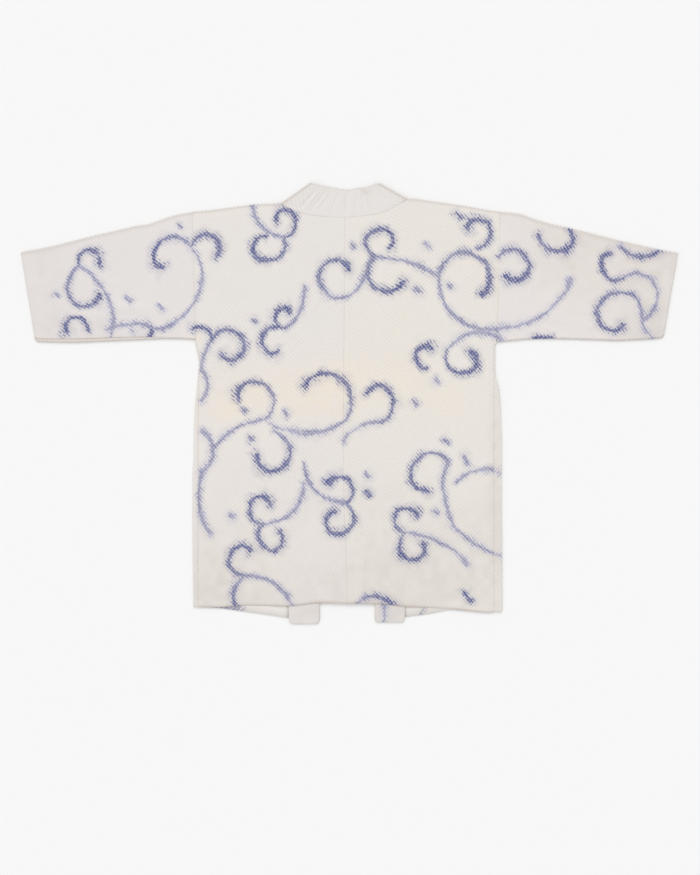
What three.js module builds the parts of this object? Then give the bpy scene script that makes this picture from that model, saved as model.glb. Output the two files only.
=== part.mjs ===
// Short-sleeved haori (a straight-cut Japanese jacket) of tie-dyed silk, laid
// flat with its back up. The two fronts and the two runs of the collar lie on
// the surface at z = 0; the back lies on top of them.
//
// Frame: millimetres, +X to the wearer's right as it lies (seen from above,
// collar away), +Y from the hem towards the collar, +Z up. The tables below are
// measured from the foot of the centre-back seam; the finished group is then
// moved so that its origin is the middle of its underside.
import * as THREE from 'three';

// ---------------------------------------------------------------- sizes, mm
const WALL = 1.6;          // one layer of crimped, tie-dyed silk
const SEAM_GAP = 0.3;      // clear space between two sewn pieces
const LAYER_GAP = 0.4;     // clear space between a layer and the one on it
const BAND = 3.2;          // the collar band, folded double
const BAND_WALL = 1.4;     // one layer of the collar band
const BAND_SLIT = 0.4;     // clear space inside the doubled band
const COLLAR_RISE = 1.6;   // how much higher the back lies over the collar runs

const BODY_LENGTH = 757;   // centre-back seam, neck to hem
const FRONT_MID = WALL / 2;                              // mid height of a front
const BACK_MID = WALL + LAYER_GAP + WALL / 2;            // mid height of the back
const BAND_MID = BAND / 2;                               // mid height of a collar run
const BAND_FOLD_R = BAND / 2 + 0.3;                      // roll of the folded collar

// ------------------------------------------------------------ outline tables
// Each row is one corner of an edge. x and y are on the outside of the cloth.
const table = (columns, rows) => rows.map((r) => Object.fromEntries(columns.map((c, i) => [c, r[i]])));

const SHOULDER = {
  left: table(['x', 'y'], [[-298, 768], [-255, 772], [-211, 778], [-168, 783], [-127, 784]]),
  right: table(['x', 'y'], [[304, 768], [288, 770], [222, 781], [159, 790], [137, 793], [123, 793]]),
};

// Neck: where the back's neck edge is sewn to the band, and the band's free edge.
// droop is how far the band's free edge hangs below its seam.
const NECK_COLUMNS = ['seamX', 'seamY', 'freeX', 'freeY', 'droop'];
const NECK = table(NECK_COLUMNS, [
  [-127, 784, -67, 826, 0.0],   // left fold of the collar
  [-107, 775, -57, 822, 0.5],
  [-89, 768, -47, 819, 0.9],
  [-71, 763, -36, 817, 1.2],
  [-51, 760, -22, 815, 1.4],
  [-27, 758, -8, 813, 1.6],
  [0, 757, 8, 811, 1.6],        // centre back, with the notch in the free edge
  [21, 759, 22, 815, 1.5],
  [41, 761, 33, 815, 1.4],
  [66, 765, 45, 817, 1.1],
  [86, 773, 54, 820, 0.8],
  [103, 782, 60, 823, 0.4],
  [123, 793, 66, 825, 0.0],     // right fold of the collar
]);
const NECK_CENTRE = 6;

const CENTRE_SEAM = table(['x', 'y'], [[5, 6], [3, 96], [-1, 168], [-3, 343], [-1, 616], [0, 757]]);

// Side of the body: sewn edge of back and front, and the outside of the gusset.
const SIDE = {
  left: table(['y', 'sewnX', 'foldX'], [
    [-1, -286, -296], [75, -286, -297], [160, -286, -298], [246, -286, -298], [285, -286, -296],
    [347, -286, -295], [390, -285.6, -293], [425, -285, -289.5], [447, -284.4, -287.6], [475, -282, -285.2],
    [488, -284, -287.2], [513, -289.5, -292.7]]),
  right: table(['y', 'sewnX', 'foldX'], [
    [-8, 290, 307], [109, 290, 306.5], [199, 290, 305.5], [283, 290, 306], [347, 290, 305],
    [378, 290, 304], [410, 290, 302], [427, 290.5, 300], [436, 290.4, 297], [451, 290, 294],
    [472, 289.6, 293], [507, 289.6, 293], [513, 292.5, 295.9]]),
};
// Sewn edge of the armhole, from the underarm to the shoulder.
const ARMHOLE = {
  left: table(['x', 'y'], [[-291, 521], [-298, 766]]),
  right: table(['x', 'y'], [[296, 521], [303, 766]]),
};
// Heights of the body's rows along its side seam and armhole, between the hem and
// the shoulder. The gusset shares those below the underarm.
const SIDE_ROWS = {
  left: [40, 75, 160, 246, 285, 347, 390, 425, 447, 475, 488, 513, 521, 550, 585, 620, 660, 700, 740],
  right: [50, 109, 199, 283, 347, 378, 410, 427, 436, 451, 472, 507, 513, 521, 560, 600, 645, 690, 735],
};
const HEM_BACK = table(['x', 'y'], [
  [-296, -1], [-269, -2], [-252, -2], [-195, 2], [-110, 1], [-47, 7], [5, 5.5], [60, 5],
  [116, 0], [172, -3], [213, -6], [244, -9], [277, -12], [305, -9]]);
const HEM_FRONT = {
  left: table(['x', 'y'], [[-296, -1], [-269, -2], [-252, -3], [-191, -11], [-110, -23]]),
  right: table(['x', 'y'], [[304, -7], [213, -7], [161, -15], [117, -21]]),
};
// Runs of the collar, from the fold at the neck to the hem. round takes in both
// edges at the very end.
const RUN_COLUMNS = ['seamX', 'seamY', 'freeX', 'freeY', 'round'];
const RUN = {
  left: table(RUN_COLUMNS, [
    [-126.4, 755, -65.5, 780, 0], [-125.6, 720, -64.5, 732, 0], [-124, 650, -63, 655, 0],
    [-120.6, 480, -59.5, 480, 0], [-117, 310, -56, 310, 0], [-113.6, 140, -52.5, 140, 0],
    [-110.8, 20, -50, 20, 0], [-110, -22, -49, -22, 0], [-110, -30, -49, -30, 1.2], [-110, -34, -49, -34, 6]]),
  right: table(RUN_COLUMNS, [
    [122.6, 755, 65.6, 780, 0], [122.3, 720, 65, 732, 0], [121.8, 650, 64.4, 655, 0],
    [120.6, 480, 63, 480, 0], [119.4, 310, 61.6, 310, 0], [118.2, 140, 60, 140, 0],
    [117.3, 20, 58.6, 20, 0], [117, -20, 58, -20, 0], [117, -27, 58, -29, 1.0], [117, -31, 58, -31, 5]]),
};
// Sleeves, one row for each section from the cuff to the armhole: the outside of
// the folded top edge and of the sewn bottom edge.
const SLEEVE_COLUMNS = ['topX', 'topY', 'botX', 'botY'];
const SLEEVE = {
  left: table(SLEEVE_COLUMNS, [
    [-632, 689, -604.5, 522], [-629, 690, -600, 515.5], [-602, 695, -574, 514.5], [-572, 701, -546, 514],
    [-530, 711.5, -512, 514.2], [-488, 722, -472, 516], [-449, 731, -436, 517.6], [-410, 740, -400, 519],
    [-389, 743, -374, 520.2], [-360, 752, -346, 521.4], [-330, 762, -322, 521], [-298.9, 767.8, -292.9, 519]]),
  right: table(SLEEVE_COLUMNS, [
    [649, 688, 621.5, 528], [645, 689, 617, 523], [620, 693, 592, 520], [589, 700, 562, 518.6],
    [556, 707.5, 530, 517], [527, 714, 506, 518], [490, 723.5, 474, 519], [456, 732, 438, 520.2],
    [403, 744, 396, 521], [369, 754, 358, 520], [335, 765, 332, 518], [304.2, 767.8, 298.2, 514]]),
};

// Largest soft folds of the upper layers: a ridge from one end to the other.
// half is its half width, high its height at the middle.
const FOLDS = table(['x0', 'y0', 'x1', 'y1', 'half', 'high'], [
  [-560, 680, -330, 560, 34, 1.3],    // left sleeve, across its upper half
  [-520, 545, -330, 575, 30, 0.9],
  [560, 640, 350, 560, 34, 1.3],      // right sleeve
  [470, 545, 380, 590, 22, 1.0],
  [-270, 730, -200, 600, 40, 1.2],    // shoulders, down from the armholes
  [275, 730, 205, 600, 40, 1.2],
  [-250, 330, -190, 60, 42, 1.0],     // skirt of the back
  [240, 300, 190, 40, 42, 1.1],
  [60, 170, 40, 20, 26, 0.8],
  [-60, 190, -84, 30, 30, 0.8],
]);

// ------------------------------------------------------------------ helpers
const lerp = (a, b, t) => a + (b - a) * t;
const clamp01 = (t) => Math.min(1, Math.max(0, t));
const smooth = (t) => { const c = clamp01(t); return c * c * (3 - 2 * c); };

// Value of column `of` where column `at` reaches v, along a table's rows.
function read(rows, at, of, v) {
  const up = rows[rows.length - 1][at] > rows[0][at];
  const r = up ? rows : [...rows].reverse();
  if (v <= r[0][at]) return r[0][of];
  for (let i = 1; i < r.length; i++) {
    if (v <= r[i][at]) return lerp(r[i - 1][of], r[i][of], (v - r[i - 1][at]) / (r[i][at] - r[i - 1][at]));
  }
  return r[r.length - 1][of];
}

// Height added by the soft folds at a point of an upper layer.
function foldHeight(x, y) {
  let h = 0;
  for (const f of FOLDS) {
    const dx = f.x1 - f.x0, dy = f.y1 - f.y0, len = Math.hypot(dx, dy);
    const along = ((x - f.x0) * dx + (y - f.y0) * dy) / (len * len);
    const across = Math.abs((x - f.x0) * dy - (y - f.y0) * dx) / len;
    if (along <= 0 || along >= 1 || across >= f.half) continue;
    h = Math.max(h, f.high * Math.sin(Math.PI * along) * (0.5 + 0.5 * Math.cos(Math.PI * across / f.half)));
  }
  return h;
}

// Closed solid from a sheet of quads whose every corner has an upper and a lower
// point: both faces, and a wall along each open edge.
function sheetSolid(corners, quads) {
  const n = corners.length, pos = [], tri = [];
  for (const c of corners) pos.push(c.hi.x, c.hi.y, c.hi.z);
  for (const c of corners) pos.push(c.lo.x, c.lo.y, c.lo.z);
  const edges = new Map();
  for (const q of quads) {
    tri.push(q[0], q[1], q[2], q[0], q[2], q[3]);
    tri.push(n + q[0], n + q[2], n + q[1], n + q[0], n + q[3], n + q[2]);
    for (let i = 0; i < 4; i++) {
      const a = q[i], b = q[(i + 1) % 4];
      if (!edges.delete(`${b},${a}`)) edges.set(`${a},${b}`, [a, b]);
    }
  }
  for (const [a, b] of edges.values()) tri.push(a, n + a, n + b, a, n + b, b);
  return closed(pos, tri);
}

function closed(pos, tri) {
  let volume = 0;
  for (let i = 0; i < tri.length; i += 3) {
    const [a, b, c] = [tri[i] * 3, tri[i + 1] * 3, tri[i + 2] * 3];
    volume += (pos[a] * (pos[b + 1] * pos[c + 2] - pos[b + 2] * pos[c + 1])
      - pos[a + 1] * (pos[b] * pos[c + 2] - pos[b + 2] * pos[c])
      + pos[a + 2] * (pos[b] * pos[c + 1] - pos[b + 1] * pos[c])) / 6;
  }
  if (volume < 0) for (let i = 0; i < tri.length; i += 3) [tri[i], tri[i + 1]] = [tri[i + 1], tri[i]];
  const g = new THREE.BufferGeometry();
  g.setAttribute('position', new THREE.Float32BufferAttribute(pos, 3));
  g.setIndex(tri);
  g.computeVertexNormals();
  return g;
}

// Solid swept through rows of a closed section; both ends are capped. section is
// the flat outline used to divide the caps.
function sweptSolid(rows, section) {
  const m = rows[0].length, pos = [], tri = [];
  for (const row of rows) for (const p of row) pos.push(p.x, p.y, p.z);
  for (let i = 0; i + 1 < rows.length; i++) {
    for (let j = 0; j < m; j++) {
      const k = (j + 1) % m, a = i * m + j, b = i * m + k, c = (i + 1) * m + k, d = (i + 1) * m + j;
      tri.push(a, b, c, a, c, d);
    }
  }
  const cap = THREE.ShapeUtils.triangulateShape(section, []);
  const last = (rows.length - 1) * m;
  const area = THREE.ShapeUtils.area(section);
  for (const [a, b, c] of cap) {
    if (area > 0) tri.push(a, c, b, last + a, last + b, last + c);
    else tri.push(a, b, c, last + a, last + c, last + b);
  }
  return closed(pos, fixCaps(tri, m, rows.length, cap.length));
}

// The side faces run a -> b along the section; the caps must run the other way on
// every shared edge.
function fixCaps(tri, m, rowCount, capCount) {
  const sides = (rowCount - 1) * m * 6;
  const has = new Set();
  for (let i = 0; i < sides; i += 3) {
    for (const [p, q] of [[0, 1], [1, 2], [2, 0]]) has.add(`${tri[i + p]},${tri[i + q]}`);
  }
  for (let i = sides; i < tri.length; i += 3) {
    let same = false;
    for (const [p, q] of [[0, 1], [1, 2], [2, 0]]) if (has.has(`${tri[i + p]},${tri[i + q]}`)) same = true;
    if (same) tri.fixFlip = true;
  }
  if (tri.fixFlip) {
    for (let i = sides; i < tri.length; i += 3) [tri[i], tri[i + 1]] = [tri[i + 1], tri[i]];
  }
  return [...tri];
}

// --------------------------------------------------------------------- body
// One loom width: up the back, over the shoulder, down the front. Columns run
// from the side seam to the centre-back seam; the front has only those as far as
// the neck point, where it is sewn to the collar.
const FRONT_COLUMNS = 6;       // side seam to neck point
const ROWS = 20;               // hem to shoulder, on the back and on the front
const FOLD_ROWS = 5;           // round the shoulder

function bodyPanel(side) {
  const s = side === 'left' ? -1 : 1;
  const neck = side === 'left' ? NECK.slice(0, NECK_CENTRE + 1) : NECK.slice(NECK_CENTRE).reverse();
  const shoulder = SHOULDER[side], armhole = ARMHOLE[side], run = RUN[side];
  const shoulderX = armhole[armhole.length - 1].x;
  const neckX = neck[0].seamX;

  const sideX = (y) => (y > armhole[0].y ? read(armhole, 'y', 'x', y) : read(SIDE[side], 'y', 'sewnX', y)) - s * SEAM_GAP / 2;
  const centreX = (y) => read(CENTRE_SEAM, 'y', 'x', y) + s * SEAM_GAP / 2;
  const runSeam = table(['x', 'y'], [...run.map((r) => [r.seamX, r.seamY]), [neck[0].seamX, neck[0].seamY]].sort((a, b) => a[1] - b[1]));
  const collarX = (y) => read(runSeam, 'y', 'x', y) + s * SEAM_GAP;

  // columns as a share of the way from side to centre, set at the top edge
  const topX = [];
  for (let i = 0; i <= FRONT_COLUMNS; i++) topX.push(lerp(shoulderX - s * SEAM_GAP / 2, neckX, i / FRONT_COLUMNS));
  for (let k = 1; k < neck.length; k++) topX.push(k === neck.length - 1 ? centreX(neck[k].seamY) : neck[k].seamX);
  const share = topX.map((x) => (x - topX[0]) / (topX[topX.length - 1] - topX[0]));
  const neckShare = share[FRONT_COLUMNS];

  // the back lies higher over the collar's run
  const rise = (i) => COLLAR_RISE * smooth((i - (FRONT_COLUMNS - 1.4)) / 1.2);
  const backMid = (i, x, y) => {
    const edge = Math.min(smooth((i) / 1.5), 1);
    return BACK_MID + rise(i) + foldHeight(x, y) * edge * smooth((y + 5) / 60) * smooth((BODY_LENGTH - 10 - y) / 60);
  };

  // How far up its column each row lies: by the side's own heights at the side,
  // evenly at the centre.
  const sideHem = { back: read(HEM_BACK, 'x', 'y', sideX(0)), front: read(HEM_FRONT[side], 'x', 'y', sideX(0)) };
  const sideTop = read(shoulder, 'x', 'y', topX[0]) - (BACK_MID - FRONT_MID) / 2 - WALL / 2;
  const up = (j, hem, across) => {
    const atSide = j === 0 ? 0 : j === ROWS ? 1 : (SIDE_ROWS[side][j - 1] - hem) / (sideTop - hem);
    return lerp(atSide, j / ROWS, across);
  };

  const corners = [], index = new Map();
  const add = (key, hi, lo) => { index.set(key, corners.length); corners.push({ hi, lo }); };
  const columns = share.length;

  for (let i = 0; i < columns; i++) {
    const onFront = i <= FRONT_COLUMNS;
    const r = (BACK_MID + rise(i) - FRONT_MID) / 2;
    // top of the flat part of the back
    const outer = onFront ? read(shoulder, 'x', 'y', topX[i]) : neck[i - FRONT_COLUMNS].seamY;
    const topY = onFront ? outer - r - WALL / 2 : outer;
    const f = share[i];
    const hemX = lerp(sideX(0), centreX(5), f);
    const hemY = read(HEM_BACK, 'x', 'y', hemX);
    for (let j = 0; j <= ROWS; j++) {
      const y = lerp(hemY, topY, up(j, sideHem.back, f));
      const x = j === ROWS ? topX[i] : lerp(sideX(y), centreX(y), f);
      const z = j === ROWS ? BACK_MID + rise(i) : backMid(i, x, y);
      add(`b${i},${j}`, new THREE.Vector3(x, y, z + WALL / 2), new THREE.Vector3(x, y, z - WALL / 2));
    }
    if (!onFront) continue;
    for (let k = 1; k <= FOLD_ROWS; k++) {
      const a = Math.PI * (1 - k / FOLD_ROWS), c = FRONT_MID + r;
      const at = (rad) => new THREE.Vector3(topX[i], topY + rad * Math.sin(a), c - rad * Math.cos(a));
      add(`f${i},${k}`, at(r + WALL / 2), at(r - WALL / 2));
    }
    const ff = f / neckShare;
    const frontHemX = lerp(sideX(0), collarX(-15), ff);
    const frontHemY = read(HEM_FRONT[side], 'x', 'y', frontHemX);
    for (let j = 1; j <= ROWS; j++) {
      const y = lerp(frontHemY, topY, up(ROWS - j, sideHem.front, ff));
      const x = lerp(sideX(y), collarX(y), ff);
      add(`r${i},${j}`, new THREE.Vector3(x, y, FRONT_MID - WALL / 2), new THREE.Vector3(x, y, FRONT_MID + WALL / 2));
    }
  }
  const at = (i, n) => {
    if (n <= ROWS) return index.get(`b${i},${n}`);
    if (n <= ROWS + FOLD_ROWS) return index.get(`f${i},${n - ROWS}`);
    return index.get(`r${i},${n - ROWS - FOLD_ROWS}`);
  };
  const quads = [];
  for (let i = 0; i + 1 < columns; i++) {
    const rows = i < FRONT_COLUMNS ? ROWS + FOLD_ROWS + ROWS : ROWS;
    for (let n = 0; n < rows; n++) quads.push([at(i, n), at(i + 1, n), at(i + 1, n + 1), at(i, n + 1)]);
  }
  return sheetSolid(corners, quads);
}

// ------------------------------------------------------------------ sleeves
// A flattened tube, folded along the top and sewn along the bottom, open at the
// cuff and at the armhole.
const SLEEVE_ACROSS = 8;       // spans across each layer
const ROLL = 4;                // spans round each folded edge

function sleeve(side) {
  const rows = SLEEVE[side], r = (BACK_MID - FRONT_MID) / 2, mid = (BACK_MID + FRONT_MID) / 2;
  const corners = [], quads = [];
  const ring = 2 * (SLEEVE_ACROSS + ROLL);
  rows.forEach((row, n) => {
    const top = new THREE.Vector2(row.topX, row.topY), bot = new THREE.Vector2(row.botX, row.botY);
    const down = bot.clone().sub(top).normalize();
    const a = top.clone().addScaledVector(down, r + WALL / 2), b = bot.clone().addScaledVector(down, -(r + WALL / 2));
    const open = n === 0 || n === rows.length - 1 ? 0 : 1;
    const put = (p, z, outward) => {
      const v = new THREE.Vector3(p.x, p.y, z);
      corners.push({ hi: v.clone().addScaledVector(outward, WALL / 2), lo: v.clone().addScaledVector(outward, -WALL / 2) });
    };
    for (let i = 0; i <= SLEEVE_ACROSS; i++) {                 // upper layer, top edge to bottom edge
      const t = i / SLEEVE_ACROSS, p = a.clone().lerp(b, t);
      const lift = foldHeight(p.x, p.y) * smooth(t * 6) * smooth((1 - t) * 6) * open;
      put(p, BACK_MID + lift, new THREE.Vector3(0, 0, 1));
    }
    for (let k = 1; k < ROLL; k++) {                           // bottom edge
      const q = Math.PI * k / ROLL, out = new THREE.Vector3(down.x * Math.sin(q), down.y * Math.sin(q), Math.cos(q));
      put(b.clone().addScaledVector(down, r * Math.sin(q)), mid + r * Math.cos(q), out);
    }
    for (let i = 0; i <= SLEEVE_ACROSS; i++) put(b.clone().lerp(a, i / SLEEVE_ACROSS), FRONT_MID, new THREE.Vector3(0, 0, -1));
    for (let k = 1; k < ROLL; k++) {                           // top edge
      const q = Math.PI * k / ROLL, out = new THREE.Vector3(-down.x * Math.sin(q), -down.y * Math.sin(q), -Math.cos(q));
      put(a.clone().addScaledVector(down, -r * Math.sin(q)), mid - r * Math.cos(q), out);
    }
  });
  for (let n = 0; n + 1 < rows.length; n++) {
    for (let j = 0; j < ring; j++) {
      const k = (j + 1) % ring;
      quads.push([n * ring + j, n * ring + k, (n + 1) * ring + k, (n + 1) * ring + j]);
    }
  }
  return sheetSolid(corners, quads);
}

// ------------------------------------------------------------------ gussets
// A narrow strip folded along its length: one half meets the back's side edge,
// the other the front's.
function gusset(side) {
  const s = side === 'left' ? -1 : 1;
  const r = (BACK_MID - FRONT_MID) / 2, mid = (BACK_MID + FRONT_MID) / 2;
  const rows = [...SIDE[side]].reverse();
  const hemBack = read(HEM_BACK, 'x', 'y', s * 300), corners = [], quads = [];
  const across = ROLL + 2;
  rows.forEach((row, n) => {
    const sewn = row.sewnX + s * SEAM_GAP / 2, flat = row.foldX - s * (r + WALL / 2);
    const y = n === rows.length - 1 ? hemBack : row.y;
    const put = (x, z, out) => corners.push({
      hi: new THREE.Vector3(x, y, z).addScaledVector(out, WALL / 2),
      lo: new THREE.Vector3(x, y, z).addScaledVector(out, -WALL / 2),
    });
    put(sewn, BACK_MID, new THREE.Vector3(0, 0, 1));
    for (let k = 0; k <= ROLL; k++) {
      const q = Math.PI * k / ROLL;
      put(flat + s * r * Math.sin(q), mid + r * Math.cos(q), new THREE.Vector3(s * Math.sin(q), 0, Math.cos(q)));
    }
    put(sewn, FRONT_MID, new THREE.Vector3(0, 0, -1));
  });
  for (let n = 0; n + 1 < rows.length; n++) {
    for (let j = 0; j < across; j++) {
      const w = across + 1;
      quads.push([n * w + j, n * w + j + 1, (n + 1) * w + j + 1, (n + 1) * w + j]);
    }
  }
  return sheetSolid(corners, quads);
}

// ------------------------------------------------------------------- collar
// A band folded double along its free edge. It runs up the left front on the
// surface, rolls over at the shoulder, passes round the neck on the upper side,
// rolls back under and runs down the right front.
function collar() {
  const h = BAND / 2, slit = BAND_SLIT / 2;
  // Section: d is the distance from the sewn edge (negative counts back from the
  // free edge), n the height through the band.
  const profile = table(['fromFree', 'd', 'n'], [
    [0, 0, -h], [1, h, -h], [1, h * 0.29, -h * 0.71], [1, 0, 0], [1, h * 0.29, h * 0.71], [1, h, h], [0, 0, h],
    [0, 0, slit], [1, BAND_WALL, slit], [1, BAND_WALL, -slit], [0, 0, -slit]]);
  const section = profile.map((p) => new THREE.Vector2(p.fromFree ? 60 - p.d : p.d, p.n));
  const rows = [];
  const addRow = (a, b, up) => {
    const e = b.clone().sub(a), len = e.length();
    e.normalize();
    rows.push(profile.map((p) => a.clone().addScaledVector(e, p.fromFree ? len - p.d : p.d).addScaledVector(up, p.n)));
  };
  const V = (x, y, z) => new THREE.Vector3(x, y, z);
  const UP = V(0, 0, 1), DOWN = V(0, 0, -1);

  const runRow = (row, s) => {
    const sx = row.seamX - s * (SEAM_GAP / 2 + row.round), fx = row.freeX + s * row.round;
    addRow(V(sx, row.seamY, BAND_MID), V(fx, row.freeY, BAND_MID), UP);
  };
  // The roll: the band turns over about a line set in from the folded outline.
  const NECK_MID = BAND_MID + 2 * BAND_FOLD_R;
  const axis = (row, s) => {
    const dir = V(row.freeX - row.seamX, row.freeY - row.seamY, 0).normalize();
    const out = V(s * Math.abs(dir.y), Math.abs(dir.x), 0);           // away from the neck
    const inset = BAND_FOLD_R + h;
    const a = V(row.seamX, row.seamY, 0).addScaledVector(out, -inset).addScaledVector(dir, 4.5);
    const b = V(row.freeX, row.freeY, 0).addScaledVector(out, -inset).addScaledVector(dir, -0.5);
    return { a, b, out };
  };
  const fold = (row, s, from, to) => {
    const { a, b, out } = axis(row, s);
    for (let k = 0; k <= ROLL + 1; k++) {
      const q = lerp(from, to, k / (ROLL + 1));
      const shift = out.clone().multiplyScalar(BAND_FOLD_R * Math.sin(q)).add(V(0, 0, BAND_MID + BAND_FOLD_R * (1 - Math.cos(q))));
      const up = out.clone().multiplyScalar(-Math.sin(q)).add(V(0, 0, Math.cos(q)));
      addRow(a.clone().add(shift), b.clone().add(shift), up);
    }
  };

  [...RUN.left].reverse().forEach((row) => runRow(row, -1));
  fold(NECK[0], -1, 0, Math.PI);
  for (let k = 1; k < NECK.length - 1; k++) {
    const row = NECK[k], before = NECK[k - 1], after = NECK[k + 1];
    const along = V(after.seamX - before.seamX, after.seamY - before.seamY, 0).normalize();
    const off = V(-along.y, along.x, 0).multiplyScalar(SEAM_GAP + 0.2);
    const sag = 1.6 * Math.sin(Math.PI * k / (NECK.length - 1));
    addRow(V(row.seamX, row.seamY, NECK_MID - sag).add(off), V(row.freeX, row.freeY, NECK_MID - sag - row.droop), DOWN);
  }
  fold(NECK[NECK.length - 1], 1, Math.PI, 0);
  RUN.right.forEach((row) => runRow(row, 1));
  return sweptSolid(rows, section);
}

// ----------------------------------------------------------------- the group
const SILK = '#e9e4dd', SILK_COOL = '#e2dedb';
const haori = new THREE.Group();
const place = (name, geometry, color) => {
  const mesh = new THREE.Mesh(geometry, new THREE.MeshStandardMaterial({ color, roughness: 0.85, metalness: 0 }));
  mesh.name = name;
  haori.add(mesh);
};
place('body_left', bodyPanel('left'), SILK);
place('body_right', bodyPanel('right'), SILK);
place('sleeve_left', sleeve('left'), SILK_COOL);
place('sleeve_right', sleeve('right'), SILK_COOL);
place('machi_left', gusset('left'), SILK);
place('machi_right', gusset('right'), SILK);
place('collar', collar(), SILK_COOL);

const box = new THREE.Box3().setFromObject(haori, true);
haori.position.set(-(box.min.x + box.max.x) / 2, -(box.min.y + box.max.y) / 2, -box.min.z);
haori.updateMatrixWorld(true);

export default haori;
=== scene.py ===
import math

import bmesh
import bpy
import numpy as np
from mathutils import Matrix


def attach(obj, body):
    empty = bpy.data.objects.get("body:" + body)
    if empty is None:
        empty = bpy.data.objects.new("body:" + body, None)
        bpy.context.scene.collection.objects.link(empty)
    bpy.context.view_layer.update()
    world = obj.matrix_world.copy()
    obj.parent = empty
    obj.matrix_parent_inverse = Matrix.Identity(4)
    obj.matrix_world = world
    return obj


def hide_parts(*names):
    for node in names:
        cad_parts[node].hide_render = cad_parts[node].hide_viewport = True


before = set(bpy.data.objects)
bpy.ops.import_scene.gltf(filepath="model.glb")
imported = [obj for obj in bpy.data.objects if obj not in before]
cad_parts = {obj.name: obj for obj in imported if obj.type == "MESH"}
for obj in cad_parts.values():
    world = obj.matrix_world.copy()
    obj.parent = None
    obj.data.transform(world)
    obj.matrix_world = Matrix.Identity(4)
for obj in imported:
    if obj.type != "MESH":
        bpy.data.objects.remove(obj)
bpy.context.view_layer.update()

# ------------------------------------------------------------------ sizes, mm
# The tables are measured from the foot of the centre-back seam, as in the solids,
# and SHIFT moves them to the frame's origin.
SHIFT = np.array([-8.5, -395.473, 0.0])
WALL, GAP, BAND, BAND_WALL = 1.6, 0.4, 3.2, 1.4
RISE = 1.6                          # the back lies higher over the collar runs
FRONT_MID = WALL / 2
BACK_MID = WALL + GAP + WALL / 2
BAND_MID = BAND / 2
BAND_FOLD_R = BAND / 2 + 0.3
NECK_MID = BAND_MID + 2 * BAND_FOLD_R
SEAM = 0.05                         # half the space left between two sewn edges
DOT = 7.8                           # spacing of the tied dots along a row
STEP = DOT / 4                      # spacing of the fine face of each sheet
SLEEVE_STEP = 1.6                   # the same on the sleeves, whose grain is turned
RELIEF = 0.34                       # half the height of a tied dot


def table(columns, rows):
    return {c: np.array([r[i] for r in rows], float) for i, c in enumerate(columns)}


SHOULDER = {
    "left": table(("x", "y"), [(-298, 768), (-255, 772), (-211, 778), (-168, 783), (-127, 784)]),
    "right": table(("x", "y"), [(123, 793), (137, 793), (159, 790), (222, 781), (288, 770), (304, 768)]),
}
NECK = table(("sx", "sy", "fx", "fy", "droop"), [
    (-127, 784, -67, 826, 0.0), (-107, 775, -57, 822, 0.5), (-89, 768, -47, 819, 0.9),
    (-71, 763, -36, 817, 1.2), (-51, 760, -22, 815, 1.4), (-27, 758, -8, 813, 1.6),
    (0, 757, 8, 811, 1.6), (21, 759, 22, 815, 1.5), (41, 761, 33, 815, 1.4),
    (66, 765, 45, 817, 1.1), (86, 773, 54, 820, 0.8), (103, 782, 60, 823, 0.4), (123, 793, 66, 825, 0.0)])
CENTRE = table(("x", "y"), [(5, 6), (3, 96), (-1, 168), (-3, 343), (-1, 616), (0, 757)])
SIDE = {
    "left": table(("y", "sewn", "fold"), [
        (-1, -286, -296), (75, -286, -297), (160, -286, -298), (246, -286, -298), (285, -286, -296),
        (347, -286, -295), (390, -285.6, -293), (425, -285, -289.5), (447, -284.4, -287.6),
        (475, -282, -285.2), (488, -284, -287.2), (513, -289.5, -292.7)]),
    "right": table(("y", "sewn", "fold"), [
        (-8, 290, 307), (109, 290, 306.5), (199, 290, 305.5), (283, 290, 306), (347, 290, 305),
        (378, 290, 304), (410, 290, 302), (427, 290.5, 300), (436, 290.4, 297), (451, 290, 294),
        (472, 289.6, 293), (507, 289.6, 293), (513, 292.5, 295.9)]),
}
ARMHOLE = {"left": ((-291, 521), (-298, 766)), "right": ((296, 521), (303, 766))}
HEM_BACK = table(("x", "y"), [
    (-296, -1), (-269, -2), (-252, -2), (-195, 2), (-110, 1), (-47, 7), (5, 5.5), (60, 5),
    (116, 0), (172, -3), (213, -6), (244, -9), (277, -12), (305, -9)])
HEM_FRONT = {
    "left": table(("x", "y"), [(-296, -1), (-269, -2), (-252, -3), (-191, -11), (-110, -23)]),
    "right": table(("x", "y"), [(117, -21), (161, -15), (213, -7), (304, -7)]),
}
RUN = {
    "left": table(("sx", "sy", "fx", "fy", "round"), [
        (-126.4, 755, -65.5, 780, 0), (-125.6, 720, -64.5, 732, 0), (-124, 650, -63, 655, 0),
        (-120.6, 480, -59.5, 480, 0), (-117, 310, -56, 310, 0), (-113.6, 140, -52.5, 140, 0),
        (-110.8, 20, -50, 20, 0), (-110, -22, -49, -22, 0), (-110, -30, -49, -30, 1.2), (-110, -34, -49, -34, 6)]),
    "right": table(("sx", "sy", "fx", "fy", "round"), [
        (122.6, 755, 65.6, 780, 0), (122.3, 720, 65, 732, 0), (121.8, 650, 64.4, 655, 0),
        (120.6, 480, 63, 480, 0), (119.4, 310, 61.6, 310, 0), (118.2, 140, 60, 140, 0),
        (117.3, 20, 58.6, 20, 0), (117, -20, 58, -20, 0), (117, -27, 58, -29, 1.0), (117, -31, 58, -31, 5)]),
}
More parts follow.
